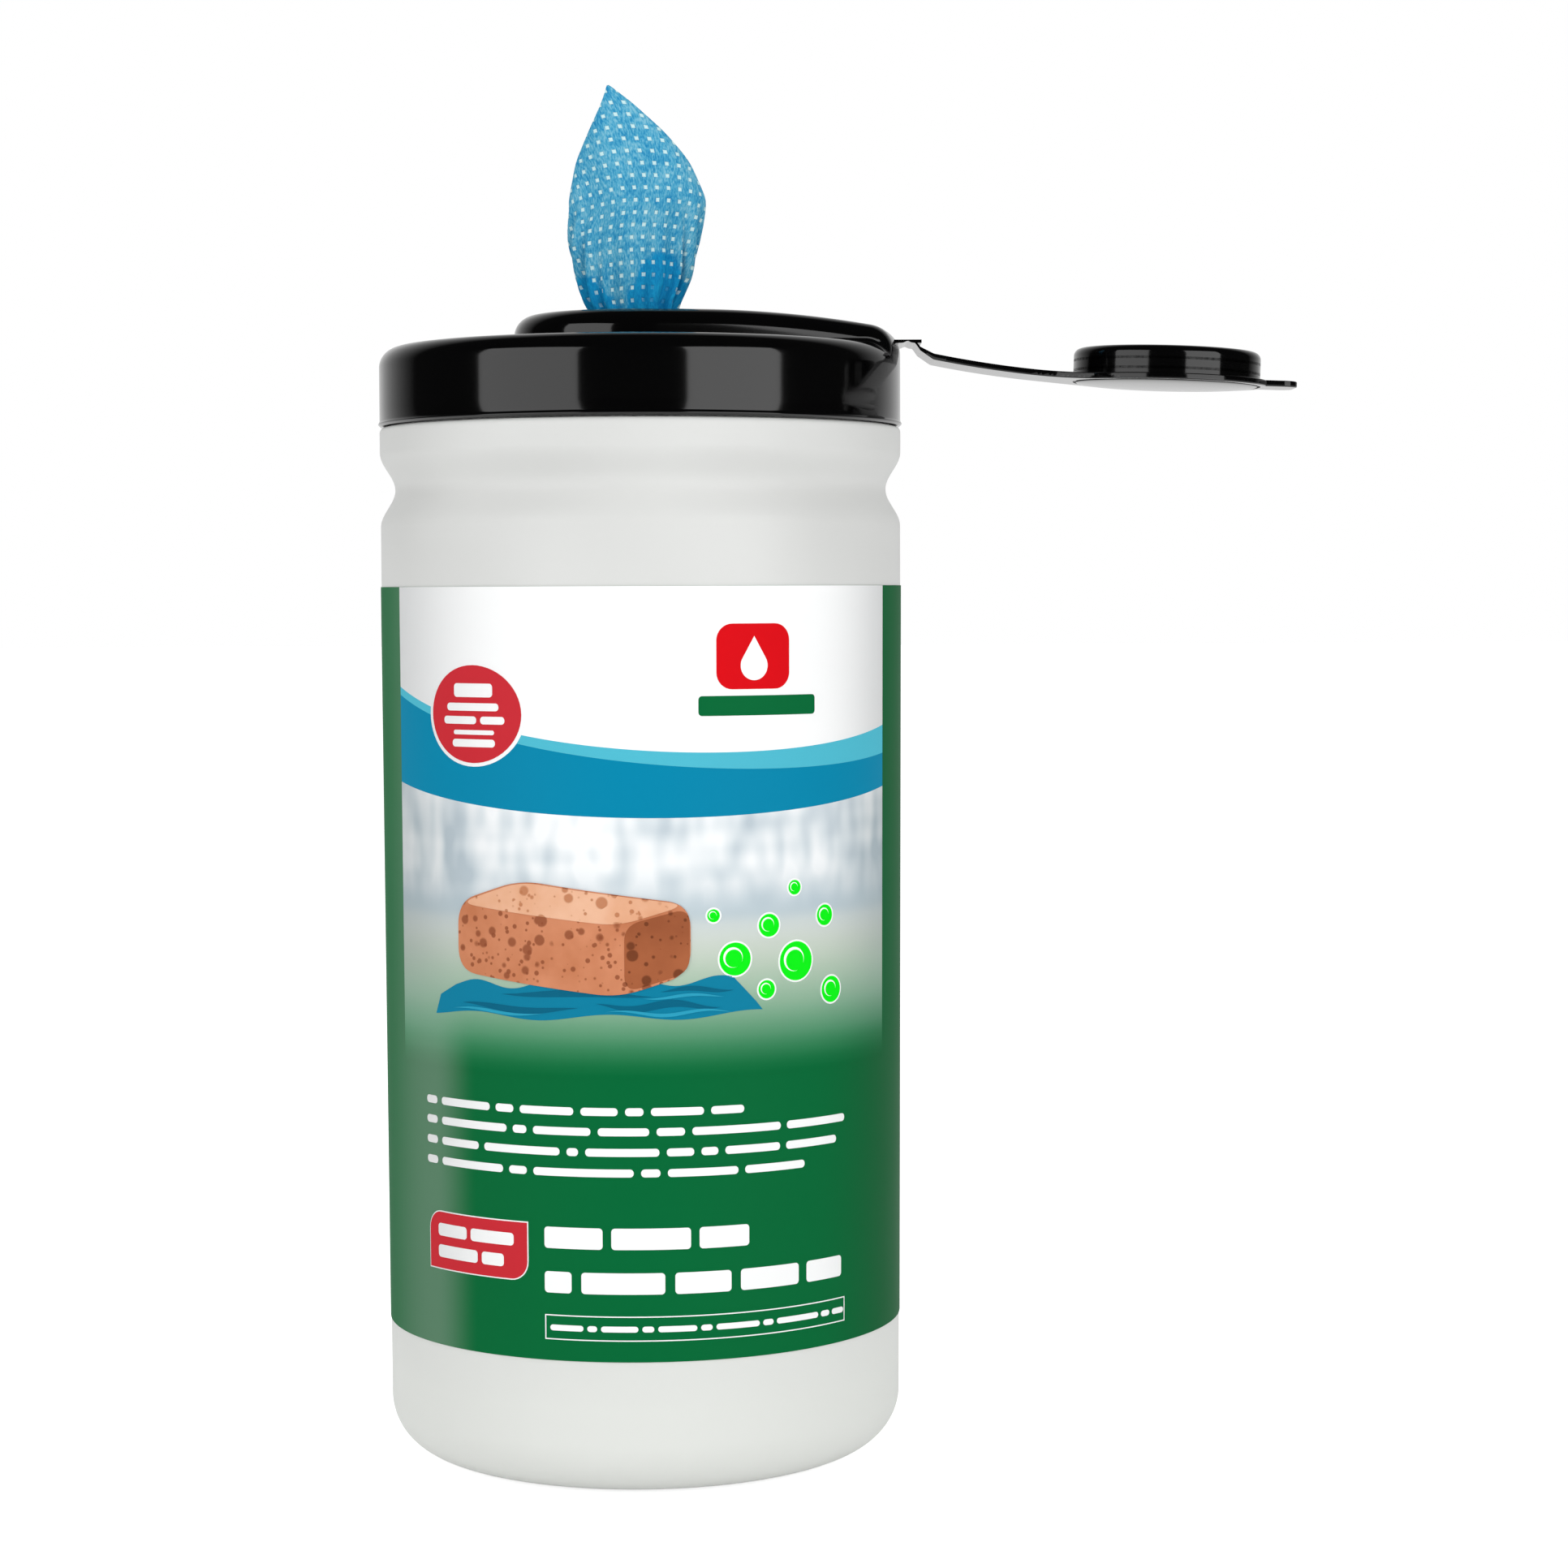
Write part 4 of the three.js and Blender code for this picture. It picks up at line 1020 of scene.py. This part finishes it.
def lid_rows(count=420):
    """The lid's rings: the well's floor and wall, its rim, the platform, and then the outside."""
    outline = platform_outline(count)
    normals = []
    for i in range(count):
        step = outline[(i + 1) % count] - outline[i - 1]
        normals.append(Vector((step.y, -step.x)).normalized())
    centre = Vector((PLUG_X, 0))
    from_well = [(p - centre).normalized() for p in outline]

    def well(radius):
        return [centre + d * radius for d in from_well]

    corner_z = WELL_FLOOR_Z + WELL_CORNER
    rows = [raised(well(r), z) for r, z in [
        (FLOOR_RING_R, LID_UNDER_Z), (FLOOR_RING_R, WELL_FLOOR_Z),
        *arc(WELL_R - WELL_CORNER, corner_z, WELL_CORNER, -90, 0, 5),
        *[(WELL_R, corner_z + WELL_WALL * i / 4) for i in (1, 2, 3)]]]
    for r, drop in arc(WELL_R + WELL_RIM, -WELL_RIM, WELL_RIM, 180, 90, 6):
        rows.append(raised(well(r), lambda p: platform_top(p.x) + drop))
    edge = [p - n * PLATFORM_EDGE_R for p, n in zip(outline, normals)]
    for i in range(1, 9):
        ring = [a.lerp(b, i / 8) for a, b in zip(well(WELL_R + WELL_RIM), edge)]
        rows.append(raised(ring, lambda p: platform_top(p.x)))
    for i in range(1, 13):
        a = math.radians(90 * i / 12)
        inset, fall = PLATFORM_EDGE_R * (1 - math.sin(a)), PLATFORM_EDGE_R * (1 - math.cos(a))
        ring = [p - n * inset for p, n in zip(outline, normals)]
        rows.append(raised(ring, lambda p: platform_top(p.x) - fall))
    return rows + outer_rows(outline, normals) + underside_rows(outline, normals)


def shoulder_height(r):
    """Height of the lid's outer surface at a radius: flat, then rounding over to the skirt."""
    out = min(max(r - SHOULDER_START, 0), LID_EDGE_R)
    return LID_TOP_Z - LID_EDGE_R + math.sqrt(LID_EDGE_R ** 2 - out ** 2)


def foot_ring(outline, normals):
    """Where the fillet round the platform's foot ends: closer in where the lid's rim is near."""
    ring = []
    for p, n in zip(outline, normals):
        end = p + n * min(FOOT_FILLET, max((LID_R - p.length) * 0.6, 0))
        ring.append(end.normalized() * min(end.length, LID_R))
    return ring


def outer_rows(outline, normals):
    """From the platform's foot over the lid's top and shoulder to the start of the skirt."""
    foot = foot_ring(outline, normals)
    rows = []
    for i in range(8):
        a = math.radians(90 * i / 7)
        lift = FOOT_FILLET * (1 - math.sin(a))
        ring = [p.lerp(end, 1 - math.cos(a)) for p, end in zip(outline, foot)]
        rows.append(raised(ring, lambda p: shoulder_height(p.length) + lift))
    for i in range(1, 41):
        t = 1 - (1 - i / 40) ** 1.7
        row = []
        for end in foot:
            flat = max(SHOULDER_START - end.length, 0)
            turned = math.asin(held((end.length - SHOULDER_START) / LID_EDGE_R))
            bend = LID_EDGE_R * (math.pi / 2 - turned)
            d = (flat + bend + SKIRT_LEAD) * t
            if d <= flat:
                r, z = end.length + d, LID_TOP_Z
            elif d <= flat + bend:
                a = turned + (d - flat) / LID_EDGE_R
                r = SHOULDER_START + LID_EDGE_R * math.sin(a)
                z = LID_TOP_Z - LID_EDGE_R * (1 - math.cos(a))
            else:
                r, z = LID_R, LID_TOP_Z - LID_EDGE_R - (d - flat - bend)
            row += raised([end.normalized() * r], z)
        rows.append(row)
    return rows


def underside_rows(outline, normals):
    """Down the skirt, round its lip and bead, round the seal ring and in to the well's floor."""
    outward = [end.normalized() for end in foot_ring(outline, normals)]
    inside = LID_R - LID_WALL
    seal_out, seal_in, seal_low = 55.8, 54.6, LID_UNDER_Z - 4
    profile = [
        (LID_R, 243), (LID_R, 240), (LID_R, LID_LOW_Z + 1.3),
        *arc(LID_R, LID_LOW_Z + 0.6, LID_LIP, 60, -60, 6),
        (LID_R - 0.2, LID_LOW_Z), (inside + 0.2, LID_LOW_Z), (inside, LID_LOW_Z + 0.2),
        (inside, 238.6), *arc(inside + 0.3, 240, 0.6, 210, 150, 6), (inside, 241.4),
        (inside, 250), *arc(inside - 1.4, LID_UNDER_Z - 1.4, 1.4, 0, 90, 4),
        (seal_out, LID_UNDER_Z), (seal_out, seal_low + 0.3), (seal_out - 0.3, seal_low),
        (seal_in + 0.3, seal_low), (seal_in, seal_low + 0.3), (seal_in, LID_UNDER_Z),
    ]
    rows = [raised([d * r for d in outward], z) for r, z in profile]
    centre = Vector((PLUG_X, 0))
    floor = [centre + (p - centre).normalized() * FLOOR_RING_R for p in outline]
    for i in range(1, 4):
        rows.append(raised([(d * seal_in).lerp(b, i / 3) for d, b in zip(outward, floor)],
                           LID_UNDER_Z))
    return rows


def lid_look():
    """Black gloss polypropylene with the faint waviness of a moulded wall."""
    made, tree, shader = plain_material("black_gloss", (0.0009, 0.0009, 0.001, 1), 0.08, IOR=1.49,
                                        Specular_IOR_Level=0.5)
    made_uneven(tree, shader, 0.00002, 0.0000006, 0.09, 0.05, 34.0, 2200.0)
    return made


BLACK = lid_look()
finished(ring_extruded(lid_rows()), "lid_shell", "lid", BLACK, ["lid"],
         math.radians(40))

# %% [markdown]
# The well's floor is the dispensing star: a thin disc with a round hole and eight slits, whose arms
# bend up a little where the cloth pulls through them.

# %% Star-cut floor
HOLE_R, SLIT_R, SLIT_W = 5.5, 14.0, 0.8
ARM_LIFT = 1.1


def star_floor():
    radii = [HOLE_R + (SLIT_R - HOLE_R) * i / 8 for i in range(9)]
    top = [(r, WELL_FLOOR_Z - 0.15 + ARM_LIFT * ((SLIT_R - r) / (SLIT_R - HOLE_R)) ** 2)
           for r in radii] + [(FLOOR_RING_R + 0.3, WELL_FLOOR_Z - 0.15)]
    under = [(r, z - 1.1) for r, z in reversed(top)]
    return spun(top + under, 96, (PLUG_X, 0))


star = finished(star_floor(), "star_floor", "lid", BLACK)
for i in range(4):
    slit = bmesh.new()
    bmesh.ops.create_cube(slit, size=1.0)
    bmesh.ops.scale(slit, vec=Vector((2 * SLIT_R, SLIT_W, 12)) * MM, verts=slit.verts)
    bmesh.ops.rotate(slit, cent=(0, 0, 0), matrix=Matrix.Rotation((i + 0.5) * math.pi / 4, 3, "Z"),
                     verts=slit.verts)
    bmesh.ops.translate(slit, vec=Vector((PLUG_X, 0, WELL_FLOOR_Z)) * MM, verts=slit.verts)
    combined(star, slit, "DIFFERENCE")
weighted(star)

# %% [markdown]
# The flap is drawn closed, lying on the platform, because that is where its shape comes from, and
# is then swung open about the hinge. Its plate is a flat outline that is thickened, cut across
# every 1.2 mm, or every 0.4 mm near the hinge, and bent to the platform's falling top. The crown,
# the fine groove round it and the plug's ring are spun, and joined or cut with a Boolean.

# %% Flap
OPEN_TURN = math.radians(182)
FLAP_GAP, FLAP_THICK = 0.4, 1.4
STRIP_HALF, DISC_R, TAB_HALF = 10.0, 23.3, 7.0
TAB_END_X = HINGE_X - 90.1
STEP_X, FINE_FROM_X = 58.4, 52.0
FLAP_FACE_Z = PLATFORM_TOP_Z + FLAP_GAP
WEB_Z = HINGE_Z + 0.05
PLUG_H, PLUG_WALL = 6.4, 2.0
RING_R, RING_W, RING_DEPTH = 21.2, 0.7, 0.4
DOME = 0.9


def flap_inner(x):
    """Height of the closed flap's inner face."""
    strip_end = LID_R - PLATFORM_EDGE_R
    if x <= strip_end:
        return platform_top(x) + FLAP_GAP
    start_z = platform_top(strip_end) + FLAP_GAP
    step_z = WEB_Z + 1.5
    if x <= STEP_X:
        return start_z + (step_z - start_z) * (x - strip_end) / (STEP_X - strip_end)
    return step_z + (WEB_Z + 0.05 - step_z) * min((x - STEP_X) / 1.2, 1)


def flap_outline():
    """The closed flap from above, from the web's end round the disc and the finger tab."""
    meet = math.asin(STRIP_HALF / DISC_R) + math.radians(14)
    join = (PLUG_X + DISC_R * math.cos(meet), DISC_R * math.sin(meet))
    tab_turn = math.asin(TAB_HALF / DISC_R)
    corner = TAB_HALF * 0.5
    blend = curve((join[0] + 14, STRIP_HALF), (join[0] + 7, STRIP_HALF), join, 16)
    degrees = math.degrees
    half = [(HINGE_X - 1.6, STRIP_HALF), *blend,
            *arc(PLUG_X, 0, DISC_R, degrees(meet), 180 - degrees(tab_turn), 60)[1:],
            *arc(TAB_END_X + corner, TAB_HALF - corner, corner, 90, 178, 10)]
    return half + [(x, -y) for x, y in reversed(half)]


def flap_plate():
    bm = bmesh.new()
    bm.faces.new([bm.verts.new(Vector((x, y, 0)) * MM) for x, y in flap_outline()])
    bmesh.ops.translate(bm, vec=Vector((0, 0, FLAP_THICK)) * MM, verts=extruded(bm))
    bmesh.ops.recalc_face_normals(bm, faces=bm.faces)
    rims = [e for e in bm.edges
            if len(e.link_faces) == 2 and e.calc_face_angle(0) > math.radians(60)
            and abs(e.verts[0].co.z - e.verts[1].co.z) < 1e-6]
    bmesh.ops.bevel(bm, geom=rims, offset=0.28 * MM, offset_type="OFFSET", affect="EDGES",
                    segments=3, profile=0.5, material=-1)
    bends = stepped(PLATFORM_FALL_X, FINE_FROM_X, 1.2)
    cut_across(bm, [x * MM for x in bends + stepped(bends[-1] + 1.2, HINGE_X - 1.7, 0.4)], 1e-7)
    for vert in bm.verts:
        px = vert.co.x / MM
        thin = 1.0 if px < STEP_X - 3 else max(0.55, 1 - (px - STEP_X + 3) / 8)
        vert.co.z = flap_inner(px) * MM + vert.co.z * thin
    return bm


def flap_crown():
    edge = RING_R - RING_W / 2
    low = FLAP_FACE_Z + FLAP_THICK / 2
    top = FLAP_FACE_Z + FLAP_THICK
    dome = [(edge * math.sin(a), top + DOME * math.cos(a)) for a in
            [math.pi / 2 * (1 - i / 24) for i in range(25)]]
    return spun([(0, low), (edge, low), *dome[:-1], (0, top + DOME)], 128, (PLUG_X, 0))


def ring_groove():
    top = FLAP_FACE_Z + FLAP_THICK
    a, b = RING_R - RING_W / 2, RING_R + RING_W / 2
    return spun([(a - 0.01, top - RING_DEPTH), (b, top - RING_DEPTH), (b + 0.2, top + 1.2),
                 (a - 0.01, top + 1.2)], 128, (PLUG_X, 0))


def plug_ring():
    """The plug: a plain ring with two fine grooves outside and a well-rounded rim."""
    face = FLAP_FACE_Z
    inner = PLUG_R - PLUG_WALL
    rim = 1.75

    def groove(depth):
        return [(PLUG_R, face - depth + 0.3), (PLUG_R - 0.12, face - depth + 0.22),
                (PLUG_R - 0.22, face - depth), (PLUG_R - 0.12, face - depth - 0.22),
                (PLUG_R, face - depth - 0.3)]

    profile = [
        (inner, face + FLAP_THICK / 2), (inner, face - PLUG_H + 0.5),
        (inner + 0.15, face - PLUG_H + 0.15),
        *arc(PLUG_R - rim, face - PLUG_H + rim, rim, -90, 0, 12),
        *groove(PLUG_H * 0.55), *groove(PLUG_H * 0.2), (PLUG_R, face + FLAP_THICK / 2),
    ]
    return spun(profile, 160, (PLUG_X, 0))


flap = finished(flap_plate(), "flap_plate", "flap", BLACK, ["flap"])
combined(flap, ring_groove(), "DIFFERENCE")
combined(flap, flap_crown(), "UNION")
combined(flap, plug_ring(), "UNION")
swing = (Matrix.Translation(Vector((HINGE_X, 0, HINGE_Z)) * MM) @ Matrix.Rotation(OPEN_TURN, 4, "Y")
         @ Matrix.Translation(Vector((-HINGE_X, 0, -HINGE_Z)) * MM))
flap.data.transform(swing)
weighted(flap)

# %% [markdown]
# The living hinge is a thin web that joins lid and flap, and on the real lid it bends when the flap
# swings. Here it is a narrow strip cut across every fifth of a millimetre and thinnest over the
# hinge axis.

# %% Hinge web
WEB_FROM, WEB_TO, WEB_THICK = 57.6, 64.6, 0.75


def hinge_web():
    bm = bmesh.new()
    corners = box(WEB_FROM, WEB_TO, -STRIP_HALF, STRIP_HALF)
    bm.faces.new([bm.verts.new(Vector((x, y, 0)) * MM) for x, y in corners])
    bmesh.ops.translate(bm, vec=(0, 0, -WEB_THICK * MM), verts=extruded(bm))
    cut_across(bm, [x * MM for x in stepped(WEB_FROM + 0.2, WEB_TO, 0.2)], 1e-7)
    for vert in bm.verts:
        notch = math.exp(-((vert.co.x / MM - HINGE_X) / 0.7) ** 2)
        if vert.co.z < -0.1 * MM:
            vert.co.z += 0.42 * notch * MM
        vert.co.z += (HINGE_Z - 0.05) * MM
    bmesh.ops.recalc_face_normals(bm, faces=bm.faces)
    return bm


web = finished(hinge_web(), "hinge_web", None, BLACK)
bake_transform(web)

# %% [markdown]
# The roll is a wet coil of cloth with a hollow middle. It only shows with the lid off: the turns
# stand as fine ridges on its end, so its profile has a small crest for every few of them.

# %% Roll of wipes
ROLL_R, ROLL_TOP_Z, BORE_R = 53.5, 201.6, 14.0
TURN_PITCH = 1.1


def roll_profile():
    count = int((ROLL_R - BORE_R) / TURN_PITCH)
    pitch = (ROLL_R - BORE_R) / count
    top = []
    for i in range(count):
        r = ROLL_R - i * pitch
        uneven = 0.25 * math.sin(i * 2.4) + 0.15 * math.sin(i * 0.7)
        top += [(r, ROLL_TOP_Z - 1.1), (r - 0.3 * pitch, ROLL_TOP_Z - 0.4 + uneven),
                (r - 0.7 * pitch, ROLL_TOP_Z - 0.4 + uneven)]
    return [(BORE_R, 1.6), (ROLL_R - 6.9, 1.6), (ROLL_R, 8.5), *top, (BORE_R, ROLL_TOP_Z - 1.1)]


def roll_look():
    made, tree, shader = plain_material("damp_roll", colour("5fb0d6"), 0.7)
    place = object_place(tree)
    shade = ramp(tree, noise(tree, place, 60.0, 3.0), [(0.35, "2a8fc4"), (0.65, "7cc0dd")])
    bump = add_node(tree, "ShaderNodeBump", {"Height": noise(tree, place, 1600.0, 2.0),
                    "Distance": 0.0001})
    paint(tree, shader, shade)
    tree.links.new(bump.outputs[0], shader.inputs["Normal"])
    return made


finished(spun(roll_profile(), 128), "roll_turns", "canister", roll_look(),
         ["wipes_roll"])

# %% [markdown]
# The wipe is a sheet drawn up by its corner. In the flat the corner is a right angle; pulled up, it
# wraps round into a leaf whose side edges curl back, and then gathers into the star's hole. So the
# grid's rows are distances from the tip and its columns are angles between the two cut edges, and
# each row is laid on a curl that narrows and pleats towards the hole. The UV map runs along each
# row and down from the tip in true lengths, so the dots keep their pitch where the cloth bends.

# %% Wipe
WIPE_TIP, WIPE_END = 314.6, 186.6
FOLDS = 12
LEVELS = [
    # height, middle in X, half width, depth, curl in degrees
    (314.6, -7.1, 0.16, 0.01, 60),
    (310.5, -5.0, 3.8, 1.3, 66),
    (303.9, -2.9, 8.8, 3.4, 76),
    (297.3, -1.5, 12.9, 5.0, 84),
    (288.0, -0.3, 15.8, 6.4, 98),
    (278.1, -1.4, 15.1, 7.0, 124),
    (270.7, -1.3, 13.5, 7.2, 146),
    (264.0, -1.9, 10.7, 6.8, 158),
    (259.0, 0.0, 8.2, 6.2, 165),
    (255.0, 1.0, 5.2, 5.2, 168),
    (251.0, 1.0, 5.1, 5.1, 168),
    (235.0, 1.0, 7.2, 6.8, 168),
    (205.0, 1.0, 9.6, 9.2, 168),
    (186.6, 1.0, 12.0, 12.0, 168),
]
CLOTH_SHARE = 0.88


def level_values(z):
    """The curl's values at a height, between the listed levels."""
    for upper, lower in zip(LEVELS, LEVELS[1:]):
        if z >= lower[0]:
            t = (upper[0] - z) / (upper[0] - lower[0])
            return [a + (b - a) * t for a, b in zip(upper[1:], lower[1:])]
    return list(LEVELS[-1][1:])


def eased(values, rounds):
    """Smooths a list of rows of numbers along the list, keeping its ends."""
    rows = [list(v) for v in values]
    for _ in range(rounds):
        rows = [rows[0]] + [[(a + 2 * b + c) / 4 for a, b, c in zip(rows[i - 1], rows[i],
                rows[i + 1])] for i in range(1, len(rows) - 1)] + [rows[-1]]
    return rows


def curled(z, values, fold, columns):
    """One row of the cloth in plan: an open curl whose folds reach inwards by a share of it."""
    middle, half, depth, curl = values
    points = []
    for i in range(columns + 1):
        across = 2 * i / columns - 1
        turn = math.radians(curl) * across
        front = 0.35 + 0.65 * min(abs(across) * 1.6, 1) if z > 258 else 1.0
        shift = 0.5 * math.sin(z * 0.03) + 0.35 * math.sin(across * 5)
        dip = 0.5 - 0.5 * math.cos(2 * math.pi * (FOLDS * (across + 1) / 2 + shift))
        dip *= fold * front * (1 + 0.3 * math.sin(across * 7 + z * 0.02))
        points.append((middle + half * (1 - dip) * math.sin(turn),
                       -depth * (1 - dip) * math.cos(turn)))
    return points


def folded_to_length(z, values, columns):
    """Deepens a row's folds until the row is as long as the flat cloth is there."""
    want = (WIPE_TIP - z) * math.pi / 2 * CLOTH_SHARE
    low, high = 0.0, 0.75
    for _ in range(14):
        fold = (low + high) / 2
        row = curled(z, values, fold, columns)
        length = sum(math.dist(a, b) for a, b in zip(row, row[1:]))
        low, high = (fold, high) if length < want else (low, fold)
    return fold


def ridge(side, at, width):
    """A smooth ridge in the cloth: one at its place, and next to nothing beside it."""
    return math.exp(-((side - at) / width) ** 2)


def relief(side, z):
    """The front's folds: a band at the right with a valley beside it, and a slanting crease."""
    valley = ridge(side, 0.64 + 0.06 * math.sin(z * 0.12), 0.15)
    band = 0.8 * valley - 0.9 * ridge(side, 0.88, 0.13)
    crease = 0.7 * ridge(side, -0.25 - (z - 262) * 0.012, 0.12)
    return band * held((292 - z) / 10) + crease * held((276 - z) / 12)


def wipe_sheet(rows=130, columns=192):
    heights = [WIPE_TIP - (WIPE_TIP - WIPE_END) * (i / rows) ** 1.2 for i in range(rows + 1)]
    shape = eased([level_values(z) for z in heights], 5)
    folds = eased([[folded_to_length(z, v, columns)] for z, v in zip(heights, shape)], 3)
    places = [evenly(curled(z, v, f[0], 4 * columns), columns)
              for z, v, f in zip(heights, shape, folds)]
    bm = bmesh.new()
    bmesh.ops.create_grid(bm, x_segments=columns, y_segments=rows, size=0.5)
    uv = bm.loops.layers.uv.new("cloth")
    flat = {}
    for vert in bm.verts:
        column = round((vert.co.x + 0.5) * columns)
        row = round((0.5 - vert.co.y) * rows)
        across = 2 * column / columns - 1
        z = heights[row]
        x, y = places[row][column]
        reach = held((WIPE_TIP - z) / 12) * held((z - 256) / 8)
        if y < 0 and z > 257:
            y += relief((x - shape[row][0]) / max(shape[row][1], 1), z) * reach
        y += 0.5 * math.sin(x * 0.45 + z * 0.11) * reach
        vert.co = Vector((x, y, z)) * MM
        rho = (WIPE_TIP - z) + 0.3
        angle = across * math.pi / 4
        flat[vert] = (rho * angle * MM, -rho * math.cos(0.6 * angle) * MM)
    for face in bm.faces:
        for loop in face.loops:
            loop[uv].uv = flat[loop.vert]
    bmesh.ops.recalc_face_normals(bm, faces=bm.faces)
    return bm


def wipe_look():
    """Damp spunlace: blue with wet patches, small white bonded squares, fibres in the bump."""
    made, tree, shader = plain_material("wipe_cloth", colour("4fa9d0"), 0.75,
                                        Specular_IOR_Level=0.12)
    place = add_node(tree, "ShaderNodeUVMap", uv_map="cloth").outputs["UV"]
    space = object_place(tree)

    def vectors(operation, *values):
        return add_node(tree, "ShaderNodeVectorMath", dict(enumerate(values)), operation=operation)

    cells = add_node(tree, "ShaderNodeMapping", {"Vector": place, "Rotation": (0, 0, DOT_TURN),
                     "Scale": (1 / (DOT_PITCH * MM), 1 / (DOT_PITCH * MM), 1)}).outputs[0]
    cell = vectors("FRACTION", cells).outputs[0]
    centred = vectors("SUBTRACT", cell, (0.5, 0.5, 0)).outputs[0]
    away = parts_of(tree, vectors("ABSOLUTE", centred).outputs[0])
    dots = mapped(tree, maths(tree, "MAXIMUM", away["X"], away["Y"]), *DOT_EDGE)
    wet = times(tree, noise(tree, space, 120.0, 5.0, 0.6), 9 * MM)
    squat = vectors("MULTIPLY", space, (1, 1, WET_TALL)).outputs[0]
    for (x, y, z), reach in WET_PATCHES:
        distance = vectors("DISTANCE", squat, Vector((x, y, z * WET_TALL)) * MM).outputs["Value"]
        near = maths(tree, "MAXIMUM", maths(tree, "SUBTRACT", reach * MM, distance), -4 * MM)
        wet = maths(tree, "ADD", wet, near)
    threads = add_node(tree, "ShaderNodeMapping", {"Vector": place, "Scale": (2600, 900, 1),
                       "Rotation": (0, 0, 0.7)}).outputs[0]
    mottle = times(tree, maths(tree, "ADD", noise(tree, space, 210.0, 8.0, 0.78),
                               noise(tree, threads, 1.0, 3.0)), 0.5)
    dry_shade = ramp(tree, mottle, [(0.4, "1f83b6"), (0.5, "4ba3c6"), (0.6, "7fbcd2")])
    wet_shade = ramp(tree, mottle, [(0.38, "0076b2"), (0.62, "169bcd")])
    shade = mixed_in(tree, mapped(tree, wet, 0.0, 0.9 * MM), dry_shade, wet_shade)
    shown = times(tree, dots, mapped(tree, wet, 4.5 * MM, 1.0 * MM, 0.06, 1.0))
    shade = mixed_in(tree, shown, shade, colour("c4e6ea"))
    bump = add_node(tree, "ShaderNodeBump", {"Height": maths(tree, "SUBTRACT", mottle, dots),
                    "Distance": 0.00018, "Strength": 0.8})
    paint(tree, shader, shade)
    tree.links.new(bump.outputs[0], shader.inputs["Normal"])
    return made


DOT_PITCH, DOT_TURN, DOT_EDGE = 2.85, -0.045, (0.175, 0.135)
WET_PATCHES, WET_TALL = [((-12.0, -4, 263.5), 5.4), ((4.4, -5, 264.0), 7.2)], 0.6
wipe = finished(wipe_sheet(), "wipe_corner", "lid", wipe_look(), ["wipe"],
                math.radians(80))
thickness = wipe.modifiers.new("cloth thickness", "SOLIDIFY")
thickness.thickness = 0.45 * MM
thickness.offset = 0
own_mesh(wipe)

# %% [markdown]
# Last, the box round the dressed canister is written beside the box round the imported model. They
# should agree to a millimetre or so: dressing adds detail within the shape, and hardly any size.

# %% Sizes and the end
boxes = {"cad": [list(c) for c in cad_box], "visual": [list(c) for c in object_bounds()]}
for name, (low, high) in boxes.items():
    print(name, "box in mm:", [round((b - a) / MM, 1) for a, b in zip(low, high)])
